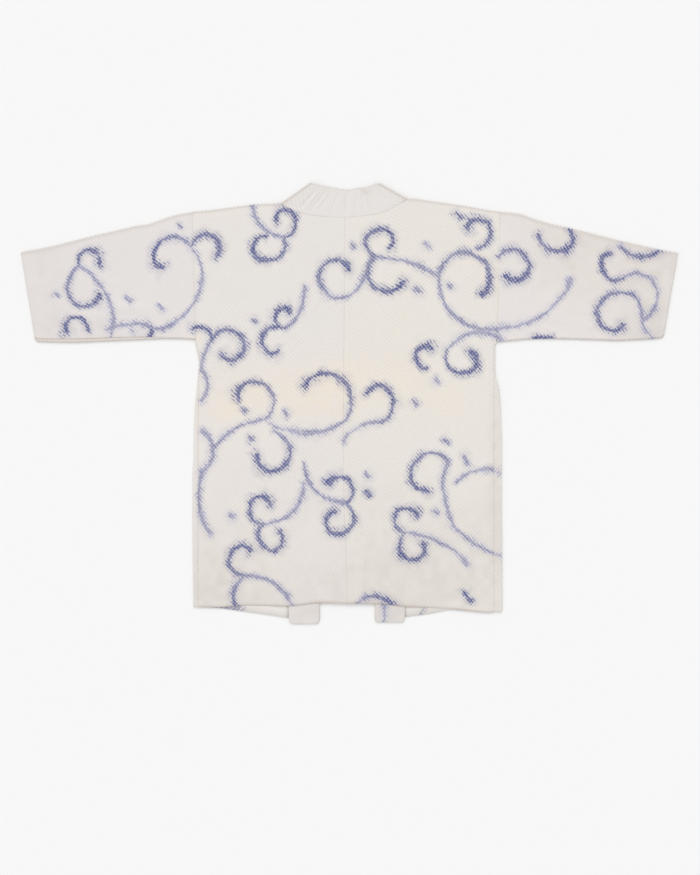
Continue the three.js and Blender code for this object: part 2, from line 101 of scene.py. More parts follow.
SLEEVE = {
    "left": table(("tx", "ty", "bx", "by", "lip"), [
        (-632, 689, -604.5, 522, 5), (-629, 690, -600, 515.5, 6), (-602, 695, -574, 514.5, 6.5),
        (-572, 701, -546, 514, 7), (-530, 711.5, -512, 514.2, 7), (-488, 722, -472, 516, 7),
        (-449, 731, -436, 517.6, 6.5), (-410, 740, -400, 519, 5.5), (-389, 743, -374, 520.2, 4),
        (-360, 752, -346, 521.4, 2.6), (-330, 762, -322, 521, 1.8), (-298.15, 767.8, -291.1, 519, 1.5)]),
    "right": table(("tx", "ty", "bx", "by", "lip"), [
        (649, 688, 621.5, 528, 2), (645, 689, 617, 523, 2), (620, 693, 592, 520, 2), (589, 700, 562, 518.6, 2),
        (556, 707.5, 530, 517, 2), (527, 714, 506, 518, 2), (490, 723.5, 474, 519, 2), (456, 732, 438, 520.2, 2),
        (403, 744, 396, 521, 2), (369, 754, 358, 520, 2), (335, 765, 332, 518, 2), (303.15, 767.8, 296.0, 514, 2)]),
}
GRAIN = {"left": 11.0, "right": -11.0}      # turn of the sleeve's grain, degrees

# Soft creases of the layers that lie on top: a trough or ridge from one end to
# the other. high is in mm, and below 0 for a trough.
CREASES = table(("x0", "y0", "x1", "y1", "half", "high"), [
    (-560, 680, -330, 560, 34, 1.3), (-520, 545, -330, 575, 30, 0.9), (560, 640, 350, 560, 34, 1.3),
    (470, 545, 380, 590, 22, 1.0), (-270, 730, -200, 600, 40, 1.2), (275, 730, 205, 600, 40, 1.2),
    (-250, 330, -190, 60, 42, 1.0), (240, 300, 190, 40, 42, 1.1), (60, 170, 40, 20, 26, 0.8),
    (-60, 190, -84, 30, 30, 0.8),
    # finer, sharper ones
    (-196, 722, -110, 640, 12, 0.5), (-40, 700, -75, 560, 16, 0.5), (70, 690, 118, 560, 15, 0.5),
    (392, 596, 452, 552, 9, 0.8), (366, 560, 420, 534, 8, 0.5), (338, 700, 360, 590, 12, 0.5),
    (-352, 690, -372, 590, 12, 0.5), (-455, 560, -520, 600, 11, 0.4), (560, 560, 600, 640, 12, 0.5),
    (-262, 486, -200, 440, 14, 0.7), (262, 476, 190, 430, 15, 0.7), (-236, 210, -216, 40, 11, 0.5),
    (-118, 118, -132, 12, 9, 0.5), (22, 98, 30, 10, 7, 0.7), (46, 120, 52, 12, 8, 0.5),
    (96, 100, 108, 8, 9, 0.5), (236, 150, 228, 6, 10, 0.6), (262, 260, 270, 60, 9, 0.5),
    (-60, 90, -20, 60, 10, 0.5), (-20, 380, -90, 300, 15, 0.4), (60, 460, 140, 380, 15, 0.4),
])
# Creases of the neck part of the band, from its seam to its free edge.
NECK_CREASES = table(("x0", "y0", "x1", "y1", "half", "high"), [
    (-92, 772, -56, 812, 5, -1.3), (-80, 768, -46, 814, 4, 0.9), (-72, 766, -36, 812, 5, -1.2),
    (-56, 762, -24, 810, 5, -1.0), (-30, 760, -14, 806, 7, -0.7), (3, 758, 6, 814, 7, -1.2),
    (13, 758, 14, 812, 7, 0.5), (26, 760, 24, 812, 6, -0.5), (37, 764, 33, 814, 8, -1.2),
    (47, 768, 41, 815, 4, 0.9), (62, 774, 50, 815, 6, -1.0), (84, 786, 60, 818, 6, -0.9)])

# ------------------------------------------------------------- dyed scrolls
# The vine is drawn by rule from three short tables; its forks and stem ends
# stand on a grid of 20 mm. A hook
# leaves its fork along its heading, in degrees, and curls in to the left (hand 1)
# or the right (-1). big is the radius it starts with and curl how far it turns.
# A stem is the arc that leaves x, y along its heading and ends at x1, y1.
HOOK = ("x", "y", "heading", "hand", "big", "curl")
STEM = ("x", "y", "heading", "x1", "y1")
TICK = ("x", "y", "long", "turn", "t")
# What vine() makes of them: each row is one spiral arc of dye. r0 and r1 are its
# radius at both ends, at and sweep its angles in degrees, w0 and w1 its width
# there, and t0 and t1 how deep the dye is, from pale lavender to slate indigo.
SCROLL = ("x", "y", "r0", "r1", "at", "sweep", "w0", "w1", "t0", "t1")
DASH = ("x", "y", "long", "wide", "turn", "t")


def vine(hooks, stems, seed):
    """Arcs of dye for a table of hooks and one of stems, no two quite alike."""
    rng = np.random.RandomState(seed)
    rows = []
    for k in range(len(hooks["x"])):
        x, y, heading, hand, big, curl = (hooks[c][k] for c in HOOK)
        at = heading - 90 * hand + rng.uniform(-8, 8)
        big, curl = big * rng.uniform(0.94, 1.08), curl * rng.uniform(0.95, 1.08)
        cx, cy = x - big * math.cos(math.radians(at)), y - big * math.sin(math.radians(at))
        pale = min(max(1.25 - big / 58, 0.36), 0.9)
        rows.append((cx, cy, big, big * (1 - 0.0017 * curl), at, hand * curl,
                     rng.uniform(10, 13), rng.uniform(13, 15) + 0.05 * big, pale, rng.uniform(0.82, 1.0)))
    for k in range(len(stems["x"])):
        x, y, heading, x1, y1 = (stems[c][k] for c in STEM)
        chord = math.hypot(x1 - x, y1 - y)
        turn = (math.degrees(math.atan2(y1 - y, x1 - x)) - heading + 180) % 360 - 180
        hand = 1 if turn > 0 else -1
        turn = max(abs(turn), 4.0)
        r = chord / (2 * math.sin(math.radians(turn)))
        at = heading - 90 * hand
        rows.append((x - r * math.cos(math.radians(at)), y - r * math.sin(math.radians(at)), r, r, at, hand * 2 * turn,
                     rng.uniform(10, 12), rng.uniform(10, 12), rng.uniform(0.34, 0.46), rng.uniform(0.28, 0.38)))
    return table(SCROLL, rows)


def ticks(t, seed):
    """Short dashes that stand beside the hooks."""
    rng = np.random.RandomState(seed)
    return table(DASH, [(t["x"][k] + rng.uniform(-5, 5), t["y"][k] + rng.uniform(-5, 5), 1.2 * t["long"][k],
                         min(t["long"][k] * rng.uniform(0.64, 0.78), 13), t["turn"][k] + rng.uniform(-8, 8), t["t"][k] - 0.08)
                        for k in range(len(t["x"]))])


UPPER = vine(table(HOOK, [
    # left sleeve
    (-520, 660, 120, -1, 30, 210), (-520, 660, 210, 1, 44, 210), (-500, 540, 90, 1, 26, 210),
    (-380, 540, -90, -1, 30, 60), (-300, 700, 120, 1, 44, 210), (-300, 700, 90, -1, 34, 210),
    # left back
    (-120, 720, 0, 1, 28, 240), (-120, 720, -60, -1, 38, 300), (-120, 540, 180, -1, 24, 210),
    (-120, 540, 150, 1, 32, 240), (-260, 520, 60, -1, 36, 270), (-260, 520, 90, 1, 26, 120),
    (-160, 360, 30, 1, 46, 240), (-40, 340, 0, 1, 64, 240), (-140, 340, 0, -1, 46, 240),
    (-160, 160, 180, -1, 32, 240), (-160, 160, 210, 1, 34, 270), (0, 200, 30, 1, 34, 210),
    (0, 200, -30, -1, 38, 300), (-200, 60, 180, -1, 34, 210), (-200, 60, 210, 1, 60, 90),
    # right back
    (60, 680, 150, -1, 32, 270), (60, 680, 210, 1, 46, 210), (-20, 600, 180, -1, 44, 240),
    (180, 640, 90, -1, 56, 210), (260, 700, 0, 1, 30, 270), (300, 680, 60, -1, 36, 270),
    (160, 460, 180, -1, 28, 210), (200, 500, -120, 1, 34, 270), (60, 360, 0, 1, 40, 240),
    (200, 280, 120, 1, 44, 240), (120, 140, 180, -1, 30, 240), (120, 140, 210, 1, 34, 270),
    (20, 0, 60, -1, 44, 120),
    # right sleeve
    (380, 720, -90, 1, 38, 210), (540, 640, 210, -1, 30, 180), (540, 700, -60, 1, 50, 90),
    (580, 560, 90, 1, 50, 300),
]), table(STEM, [
    (-520, 660, -20, -460, 520), (-380, 540, 150, -460, 540), (-380, 540, 0, -300, 700),
    (-120, 720, 180, -180, 780), (-120, 540, 30, -80, 620), (-260, 520, -120, -280, 460),
    (-280, 460, -40, -280, 400), (-160, 360, 180, -260, 300), (-160, 360, -30, -40, 340),
    (-40, 340, 180, -140, 340), (-280, 340, -30, -280, 260), (-280, 260, -110, -260, 140),
    (-160, 160, 0, -80, 240), (0, 200, 180, -80, 280), (-200, 60, 0, -100, 0),
    (60, 680, 0, 180, 640), (-20, 600, 0, 40, 640), (180, 640, -90, 300, 540), (300, 540, 0, 440, 640),
    (200, 500, 60, 300, 520), (60, 360, 180, 0, 320), (200, 280, -110, 300, 100), (220, 240, 60, 300, 260),
    (120, 140, 0, 240, 80), (540, 640, 30, 580, 560), (580, 560, -90, 600, 520),
]), 41)
UPPER_DASHES = ticks(table(TICK, [
    (-560, 600, 16, -45, 0.40), (-420, 600, 16, -45, 0.45), (-360, 580, 17, -45, 0.40), (-420, 540, 16, -45, 0.30),
    (-320, 740, 16, -45, 0.55), (-180, 560, 17, -45, 0.50), (-200, 380, 18, -45, 0.60), (-120, 380, 16, -45, 0.45),
    (-180, 320, 17, -45, 0.60), (-220, 180, 16, -45, 0.40), (20, 700, 16, -45, 0.50), (160, 700, 17, -45, 0.50),
    (140, 620, 18, -45, 0.55), (200, 620, 19, -45, 0.60), (140, 400, 16, -45, 0.50), (180, 440, 17, -45, 0.30),
    (200, 320, 19, -45, 0.60), (240, 280, 19, -45, 0.60), (180, 180, 18, -45, 0.50), (40, 260, 17, -45, 0.50),
    (40, 220, 19, -45, 0.75), (240, 20, 28, -45, 0.95), (220, 760, 22, -45, 0.95), (380, 520, 42, 5, 0.95),
]), 42)
# The fronts, and the two runs of the band.
FRONT_SCROLLS = vine(table(HOOK, [
    (-200, 120, 30, 1, 44, 240), (-200, 240, 180, -1, 44, 210), (-240, 380, 60, -1, 34, 270),
    (-160, 480, 210, 1, 38, 240), (-240, 580, 0, 1, 40, 240), (-160, 680, 150, 1, 34, 270),
    (200, 60, 150, -1, 38, 240), (160, 200, 30, 1, 44, 240), (260, 320, 180, -1, 44, 210), (180, 400, 60, -1, 34, 270),
    (260, 500, 150, 1, 40, 240), (180, 600, 0, 1, 34, 270), (240, 700, 210, 1, 34, 240),
]), table(STEM, [
    (-200, 120, 210, -240, 0), (-200, 240, 0, -140, 340), (-240, 380, -120, -280, 280), (-160, 480, 30, -140, 580),
    (-240, 580, 180, -280, 480), (200, 60, -30, 280, 20), (160, 200, 210, 140, 80), (260, 320, 0, 300, 240),
    (260, 500, -30, 300, 400), (180, 600, 180, 140, 520),
]), 43)
FRONT_DASHES = ticks(table(TICK, [
    (-260, 300, 17, -45, 0.50), (-160, 380, 17, -45, 0.45), (-260, 520, 16, -45, 0.50), (-140, 200, 16, -45, 0.40),
    (260, 180, 17, -45, 0.50), (160, 320, 17, -45, 0.45), (260, 420, 16, -45, 0.50), (140, 500, 16, -45, 0.40),
    (280, 620, 16, -45, 0.45), (150, -12, 18, 60, 0.80), (222, -2, 17, -10, 1.12),
    (-225, 6, 44, -9, 1.12), (-220, -5, 44, -9, 1.12), (-245, -2, 28, -9, 1.12), (-222, -12, 38, -9, 1.12),
]), 44)
BAND_SCROLLS = vine(table(HOOK, [
    (60, 160, -30, 1, 34, 210), (120, 300, 120, 1, 40, 180), (-60, 180, 210, -1, 38, 210),
    (-120, 340, 30, -1, 40, 200), (-60, 540, 150, 1, 38, 210), (60, 520, 30, -1, 38, 210),
]), table(STEM, [
    (80, 60, -90, 80, -40), (60, 160, 150, 120, 220), (-60, 180, 30, -120, 240), (-60, 540, -30, -120, 460),
]), 45)
NO_DASHES = table(DASH, [(0, -9000, 1, 1, 0, 0)])

# Old yellowing and grime, and painted shade: middle, reach and strength of each patch. Where a patch darkens the
# cloth, that is mostly painted shade of the light falling off towards the hem, the sleeve ends and the sides, and
# grime in the small blotch by the neck.
STAINS_AND_SHADE = table(("x", "y", "rx", "ry", "yellow", "grime_and_shade"), [
    (-235, 381, 26, 26, 0.50, 0.00), (-200, 396, 90, 34, 0.30, 0.00), (-40, 408, 90, 60, 0.45, 0.00),
    (-12, 440, 34, 30, 0.15, 0.00), (110, 430, 80, 50, 0.35, 0.00), (215, 392, 80, 40, 0.40, 0.00),
    (190, 408, 36, 24, 0.15, 0.00), (90, 530, 90, 70, 0.20, -0.10), (255, 664, 60, 44, 0.30, 0.00),
    (-215, 772, 60, 26, 0.30, 0.00), (430, 735, 90, 26, 0.30, 0.00), (-160, 420, 60, 20, 0.20, 0.00),
    (-450, 640, 150, 90, -0.40, 0.30), (-40, 640, 120, 110, -0.10, 0.15), (-590, 600, 70, 140, 0.05, 0.60),
    (610, 600, 80, 140, 0.15, 0.80), (430, 690, 110, 80, 0.05, 0.50), (-470, 536, 130, 26, 0.00, 0.80),
    (-250, 30, 110, 120, 0.10, 1.00), (230, 60, 130, 120, 0.10, 0.95), (-40, 20, 160, 80, 0.10, 0.70),
    (70, 60, 80, 90, 0.10, 0.45), (-60, 300, 120, 80, -0.10, 0.20), (200, 690, 70, 60, 0.00, 0.30),
    (-294, 520, 24, 14, 0.60, 0.00), (-600, 690, 40, 14, 0.25, 0.00), (62, 807, 9, 5, 1.10, 0.00), (39, 807, 9, 8, 0.00, 1.20),
    (100, -16, 60, 30, 0.10, 0.55), (-80, -18, 60, 30, 0.10, 0.30),
    (500, 640, 170, 110, 0.38, 0.50), (0, 190, 300, 90, 0.00, 0.50), (-200, 110, 130, 150, 0.18, 0.00),
    (-80, 450, 260, 45, 0.28, 0.00), (590, 515, 60, 50, 0.00, 0.70), (294, 300, 16, 200, 0.00, 0.90),
    (-190, 375, 90, 80, 0.25, 0.00), (-30, 400, 70, 90, 0.22, 0.00), (120, 640, 60, 120, 0.22, -0.10),
])

# -------------------------------------------------------------------- helpers
def smooth(t):
    t = np.clip(t, 0.0, 1.0)
    return t * t * (3 - 2 * t)


def mix(a, b, t):
    return a + (b - a) * t


def curve(xs, ys, x):
    """A smooth line through a table's rows that doesn't overshoot them."""
    order = np.argsort(xs)
    xs, ys = np.asarray(xs, float)[order], np.asarray(ys, float)[order]
    h, d = np.diff(xs), np.diff(ys) / np.diff(xs)
    m = np.empty_like(ys)
    same = d[:-1] * d[1:] > 0
    m[1:-1] = np.where(same, 2 * d[:-1] * d[1:] / np.where(same, d[:-1] + d[1:], 1), 0)
    m[0], m[-1] = d[0], d[-1]
    x = np.asarray(x, float)
    i = np.clip(np.searchsorted(xs, x) - 1, 0, len(h) - 1)
    t = np.clip((x - xs[i]) / h[i], 0, 1)
    t2, t3 = t * t, t * t * t
    return ((2 * t3 - 3 * t2 + 1) * ys[i] + (t3 - 2 * t2 + t) * h[i] * m[i]
            + (3 * t2 - 2 * t3) * ys[i + 1] + (t3 - t2) * h[i] * m[i + 1])


_grids = {}


def noise(x, y, size, seed):
    """Smooth uneven height from -1 to 1 with lumps about size mm wide."""
    if seed not in _grids:
        _grids[seed] = np.random.RandomState(seed).uniform(-1, 1, (256, 256))
    g = _grids[seed]
    u, v = np.asarray(x, float) / size + 91.3, np.asarray(y, float) / size + 57.7
    i, j = np.floor(u).astype(int), np.floor(v).astype(int)
    fu, fv = smooth(u - i), smooth(v - j)
    a = mix(g[i % 256, j % 256], g[(i + 1) % 256, j % 256], fu)
    b = mix(g[i % 256, (j + 1) % 256], g[(i + 1) % 256, (j + 1) % 256], fu)
    return mix(a, b, fv)


def crease_height(t, x, y, bow=0.10):
    """What the rows of a crease table add at each point. bow is how far each one
    bends aside, as a share of its length."""
    h = np.zeros_like(x)
    for k in range(len(t["x0"])):
        x0, y0, dx, dy = t["x0"][k], t["y0"][k], t["x1"][k] - t["x0"][k], t["y1"][k] - t["y0"][k]
        size = math.hypot(dx, dy)
        along = ((x - x0) * dx + (y - y0) * dy) / size ** 2
        bend = bow * size * np.sin(np.pi * np.clip(along, 0, 1)) * (1 if k % 2 else -1)
        across = ((x - x0) * dy - (y - y0) * dx) / size + bend
        half = t["half"][k] * (0.75 + 0.35 * noise(x, y, 40, 11))
        inside = (along > 0) & (along < 1) & (np.abs(across) < half)
        shape = np.sin(np.pi * np.clip(along, 0, 1)) ** 0.8 * (0.5 + 0.5 * np.cos(np.pi * np.clip(across / half, -1, 1)))
        h += np.where(inside, t["high"][k] * shape, 0)
    return h


def lie(x, y):
    """Height that an upper layer has above its flat lie, uneven but never below 0."""
    h = 0.55 * (1 + noise(x, y, 70, 1)) + 0.22 * (1 + noise(x, y, 26, 2)) + 0.10 * (1 + noise(x, y, 11, 3))
    return np.maximum(h + crease_height(CREASES, x, y) - 0.35, 0)


def dots(p, q):
    """Relief of the tied dots at cut coordinates p, q: 0 on a dot, -1 between."""
    k = 2 * np.pi / DOT
    return 0.5 * (np.cos(k * p) * np.cos(k * q) - 1) * (0.85 + 0.3 * noise(p, q, 45, 6))


def wander(x, y, calm):
    """Sideways drift of the cloth, so that its dots don't stand in perfect rows."""
    return (0.9 * noise(x, y, 31, 9) + 0.45 * noise(x, y, 12, 10)) * calm, \
        (0.9 * noise(x, y, 31, 12) + 0.45 * noise(x, y, 12, 13)) * calm


def dye(x, y, scrolls, dashes):
    """How far inside the nearest dyed line each point is (1 on its middle, 0 at
    its edge, below 0 outside) and how deep the dye is there."""
    best = np.full(x.shape, -3.0)
    tone = np.zeros(x.shape)
    x, y = (x + 3.2 * noise(x, y, 46, 20) + 1.7 * noise(x, y, 19, 23) + 0.9 * noise(x, y, 8, 24),
            y + 3.2 * noise(x, y, 46, 19) + 1.7 * noise(x, y, 19, 25) + 0.9 * noise(x, y, 8, 26))
    frayed = 0.98 * (1 + 0.34 * noise(x, y, 21, 21) + 0.24 * noise(x, y, 8, 22))
    for k in range(len(scrolls["x"])):
        cx, cy, r0, r1, at, sweep, w0, w1, t0, t1 = (scrolls[c][k] for c in SCROLL)
        dx, dy = x - cx, y - cy
        near = np.hypot(dx, dy) < max(r0, r1) + 34
        if not near.any():
            continue
        dx, dy = dx[near], dy[near]
        r, phi = np.hypot(dx, dy), np.degrees(np.arctan2(dy, dx))
        turn = abs(sweep)
        part = ((phi - at) * (1 if sweep > 0 else -1)) % 360.0
        d = np.full(r.shape, 1e9)
        t = np.zeros(r.shape)
        for extra in (0.0, 360.0):
            s = (part + extra) / turn
            ok = s <= 1
            e = np.where(ok, np.abs(r - mix(r0, r1, s)), 1e9)
            t = np.where(e < d, s, t)
            d = np.minimum(d, e)
        for s, rr, aa in ((0.0, r0, at), (1.0, r1, at + sweep)):
            e = np.hypot(dx - rr * math.cos(math.radians(aa)), dy - rr * math.sin(math.radians(aa)))
            t = np.where(e < d, s, t)
            d = np.minimum(d, e)
        v = 1 - d / (0.5 * mix(w0, w1, t) * frayed[near])
        now = best[near]
        take = v > now
        best[near] = np.where(take, v, now)
        tone[near] = np.where(take, mix(t0, t1, t), tone[near])
    for k in range(len(dashes["x"])):
        cx, cy, long, wide, turn, t0 = (dashes[c][k] for c in DASH)
        c, s = math.cos(math.radians(turn)), math.sin(math.radians(turn))
        a, b = (x - cx) * c + (y - cy) * s, -(x - cx) * s + (y - cy) * c
        d = np.hypot(np.maximum(np.abs(a) - (long - wide) / 2, 0), b)
        v = 1 - d / (0.5 * wide * frayed)
        take = v > best
        best = np.where(take, v, best)
        tone = np.where(take, t0, tone)
    # the dye took unevenly along the lines
    best = best - 0.30 * np.maximum(noise(x, y, 26, 27), 0) ** 1.5 - 0.08 * (1 + noise(x, y, 11, 28))
    return np.clip(best, -3, 1), np.clip(tone + 0.12 * noise(x, y, 24, 29), 0, 1)


# yellow is old yellowing; the darkening sums grime and painted shade where the light falls off
def stains_and_shade(x, y):
    yellow, grime_and_shade = np.zeros(x.shape), np.zeros(x.shape)
    for k in range(len(STAINS_AND_SHADE["x"])):
        g = np.exp(-((x - STAINS_AND_SHADE["x"][k]) / STAINS_AND_SHADE["rx"][k]) ** 2 - ((y - STAINS_AND_SHADE["y"][k]) / STAINS_AND_SHADE["ry"][k]) ** 2)
        g = g * (0.8 + 0.35 * noise(x, y, 14, 31 + k % 5))
        yellow += g * STAINS_AND_SHADE["yellow"][k]
        grime_and_shade += g * STAINS_AND_SHADE["grime_and_shade"][k]
    return yellow, grime_and_shade


# --------------------------------------------------------------- sheet meshes
class Sheet:
    """A sheet of cloth as a grid of rows and columns. Its outer face is fine, its
    inner face takes every fourth row and column, and a rounded rim joins them.
    holes is the first row and column past which there is no cloth, for a sheet
    that is only part as wide beyond some row."""

    def __init__(self, name, rows, columns, cut_row=None, cut_column=None):
        self.name, self.R, self.C = name, rows, columns
        self.cut = (cut_row, cut_column)
        assert rows % 4 == 0 and columns % 4 == 0
        self.here = np.ones((rows + 1, columns + 1), bool)
        if cut_row is not None:
            assert cut_row % 4 == 0 and cut_column % 4 == 0
            self.here[cut_row + 1:, cut_column + 1:] = False

    def rim(self):
        """Each edge point in turn, as (row, column, next row inwards, next column)."""
        R, C, (r, c) = self.R, self.C, self.cut
        corners = [(0, 0), (0, C), (R, C), (R, 0)] if r is None else [(0, 0), (0, C), (r, C), (r, c), (R, c), (R, 0)]
        out = []
        for (r0, c0), (r1, c1) in zip(corners, corners[1:] + corners[:1]):
            n = max(abs(r1 - r0), abs(c1 - c0))
            for k in range(n):
                out.append((r0 + (r1 - r0) * k // n, c0 + (c1 - c0) * k // n))
        return np.array(out)

    def build(self, outer, inner, data, bulge, material):
        """outer, inner: (R+1, C+1, 3) in mm. data: name -> (R+1, C+1, 3) for the
        outer face. bulge: (R+1, C+1), how far the rim stands out."""
        here = self.here
        ids = np.full(here.shape, -1)
        ids[here] = np.arange(here.sum())
        verts = [outer[here]]
        n_outer = int(here.sum())
        q = here[:-1, :-1] & here[1:, :-1] & here[:-1, 1:] & here[1:, 1:]
        quads = [np.stack([ids[:-1, :-1][q], ids[:-1, 1:][q], ids[1:, 1:][q], ids[1:, :-1][q]], 1)]
        # each face starts at its dot, so that it splits the same way round every dot
        rr, cc = np.nonzero(q)
        first = np.where(rr % 2 == 0, cc % 2, 3 - cc % 2)
        quads[0] = np.take_along_axis(quads[0], (first[:, None] + np.arange(4)[None, :]) % 4, 1)
        # middle row of the rim
        loop = self.rim()
        L = ids[loop[:, 0], loop[:, 1]]
        p_out, p_in = outer[loop[:, 0], loop[:, 1]], inner[loop[:, 0], loop[:, 1]]
        mid = (p_out + p_in) / 2
        tangent = np.roll(mid, -1, 0) - np.roll(mid, 1, 0)
        thick = p_out - p_in
        away = np.cross(tangent, thick)
        away /= np.maximum(np.linalg.norm(away, axis=1, keepdims=True), 1e-9)
        # turn it outwards: compare with the way to the sheet's inside
        rr = np.clip(loop[:, 0] + np.where(loop[:, 0] == 0, 1, -1), 0, self.R)
        cc = np.clip(loop[:, 1] + np.where(loop[:, 1] == 0, 1, -1), 0, self.C)
        inwards = outer[rr, cc] - p_out
        if np.sum(np.sign(np.sum(away * inwards, 1))) > 0:
            away = -away
        M = n_outer + np.arange(len(loop))
        verts.append(mid + away * bulge[loop[:, 0], loop[:, 1]][:, None])
        L2, M2 = np.roll(L, -1), np.roll(M, -1)
        quads.append(np.stack([L, L2, M2, M], 1))
        # inner face
        coarse = np.zeros_like(here)
        coarse[::4, ::4] = here[::4, ::4]
        cid = np.full(here.shape, -1)
        cid[coarse] = n_outer + len(loop) + np.arange(coarse.sum())
        verts.append(inner[coarse])
        g = cid[::4, ::4]
        q = (g[:-1, :-1] >= 0) & (g[1:, :-1] >= 0) & (g[:-1, 1:] >= 0) & (g[1:, 1:] >= 0)
        quads.append(np.stack([g[:-1, :-1][q], g[1:, :-1][q], g[1:, 1:][q], g[:-1, 1:][q]], 1))
        I = cid[loop[::4, 0], loop[::4, 1]]
        I2 = np.roll(I, -1)
        m = [M[0::4], M[1::4], M[2::4], M[3::4], np.roll(M[0::4], -1)]
        tris = [np.stack(t, 1) for t in ((m[0], m[1], I), (m[1], m[2], I), (m[2], I2, I), (m[2], m[3], I2), (m[3], m[4], I2))]
        V = (np.concatenate(verts) + SHIFT) * 0.001
        Q, T = np.concatenate(quads), np.concatenate(tris)
        me = bpy.data.meshes.new(self.name)
        me.vertices.add(len(V))
        me.vertices.foreach_set("co", V.astype(np.float32).ravel())
        me.loops.add(Q.size + T.size)
        me.loops.foreach_set("vertex_index", np.concatenate([Q.ravel(), T.ravel()]).astype(np.int32))
        me.polygons.add(len(Q) + len(T))
        starts = np.concatenate([np.arange(len(Q)) * 4, Q.size + np.arange(len(T)) * 3])
        me.polygons.foreach_set("loop_start", starts.astype(np.int32))
        me.update(calc_edges=True)
        inside = np.concatenate([np.zeros(n_outer), np.full(len(loop), 0.5), np.ones(int(coarse.sum()))])
        for key, values in data.items():
            full = np.concatenate([values[here], values[loop[:, 0], loop[:, 1]], values[coarse]])
            if key == "dye":
                full = full.copy()
                full[:, 2] = inside
            a = me.attributes.new(key, "FLOAT_VECTOR", "POINT")
            a.data.foreach_set("vector", full.astype(np.float32).ravel())
        bm = bmesh.new()
        bm.from_mesh(me)
        bmesh.ops.recalc_face_normals(bm, faces=bm.faces)
        for f in bm.faces:
            f.smooth = True
        bm.to_mesh(me)
        bm.free()
        # the cloth's edge is crisp
        ends = np.empty(2 * len(me.edges), np.int32)
        me.edges.foreach_get("vertices", ends)
        on_edge = np.zeros(len(V), bool)
        on_edge[L] = True
        sharp = on_edge[ends[::2]] & on_edge[ends[1::2]]
        a = me.attributes.get("sharp_edge") or me.attributes.new("sharp_edge", "BOOLEAN", "EDGE")
        a.data.foreach_set("value", sharp)
        me.materials.append(material)
        ob = bpy.data.objects.new(self.name, me)
        bpy.context.scene.collection.objects.link(ob)
        return ob


def even(n):
    return int(round(n / 4.0)) * 4


def neck_bell(x):
    """0 at both ends of the neck seam and 1 at its middle."""
    return np.sin(np.pi * np.clip((x + 127) / 250, 0, 1))


def edge_dip(d, deep=0.22, reach=2.0):
    """A sewn or turned edge sinks a little."""
    return -deep * np.exp(-np.maximum(d, 0) / reach)


# ------------------------------------------------------------------ materials
class Nodes:
    def __init__(self, tree):
        self.t = tree

    def new(self, kind, **values):
        n = self.t.nodes.new(kind)
        for k, v in values.items():
            setattr(n, k, v)
        return n

    def put(self, socket, value):
        if isinstance(value, bpy.types.NodeSocket):
            self.t.links.new(value, socket)
        else:
            socket.default_value = value

    def math(self, op, a, b=0.0, c=0.0, clamp=False):
        n = self.new("ShaderNodeMath", operation=op, use_clamp=clamp)
        self.put(n.inputs[0], a)
        self.put(n.inputs[1], b)
        self.put(n.inputs[2], c)
        return n.outputs[0]

    def ramp(self, v, low, high, a=0.0, b=1.0):
        n = self.new("ShaderNodeMapRange", interpolation_type="SMOOTHSTEP")
        self.put(n.inputs["Value"], v)
        for k, x in (("From Min", low), ("From Max", high), ("To Min", a), ("To Max", b)):
            self.put(n.inputs[k], x)
        return n.outputs[0]

    def mix(self, f, a, b):
        n = self.new("ShaderNodeMix", data_type="RGBA")
        self.put(n.inputs[0], f)
        for s, v in ((n.inputs[6], a), (n.inputs[7], b)):
            self.put(s, v if isinstance(v, bpy.types.NodeSocket) else (*v, 1.0))
        return n.outputs[2]

    def split(self, name):
        n = self.new("ShaderNodeAttribute", attribute_name=name)
        s = self.new("ShaderNodeSeparateXYZ")
        self.t.links.new(n.outputs["Vector"], s.inputs[0])
        return n.outputs["Vector"], s.outputs[0], s.outputs[1], s.outputs[2]

    def chance(self, i, j):
        """A chance value from 0 to 1 for each pair of whole numbers."""
        v = self.new("ShaderNodeCombineXYZ")
        self.put(v.inputs[0], i)
        self.put(v.inputs[1], j)
        n = self.new("ShaderNodeTexWhiteNoise", noise_dimensions="3D")
        self.t.links.new(v.outputs[0], n.inputs["Vector"])
        return n.outputs["Value"]

    def noise(self, vec, scale, detail=2.0, rough=0.5):
        n = self.new("ShaderNodeTexNoise")
        self.put(n.inputs["Vector"], vec)
        self.put(n.inputs["Scale"], scale)
        self.put(n.inputs["Detail"], detail)
        self.put(n.inputs["Roughness"], rough)
        return n.outputs["Fac"]


def lin(r, g, b):
    return tuple((c / 255 / 12.92) if c / 255 <= 0.04045 else ((c / 255 + 0.055) / 1.055) ** 2.4 for c in (r, g, b))


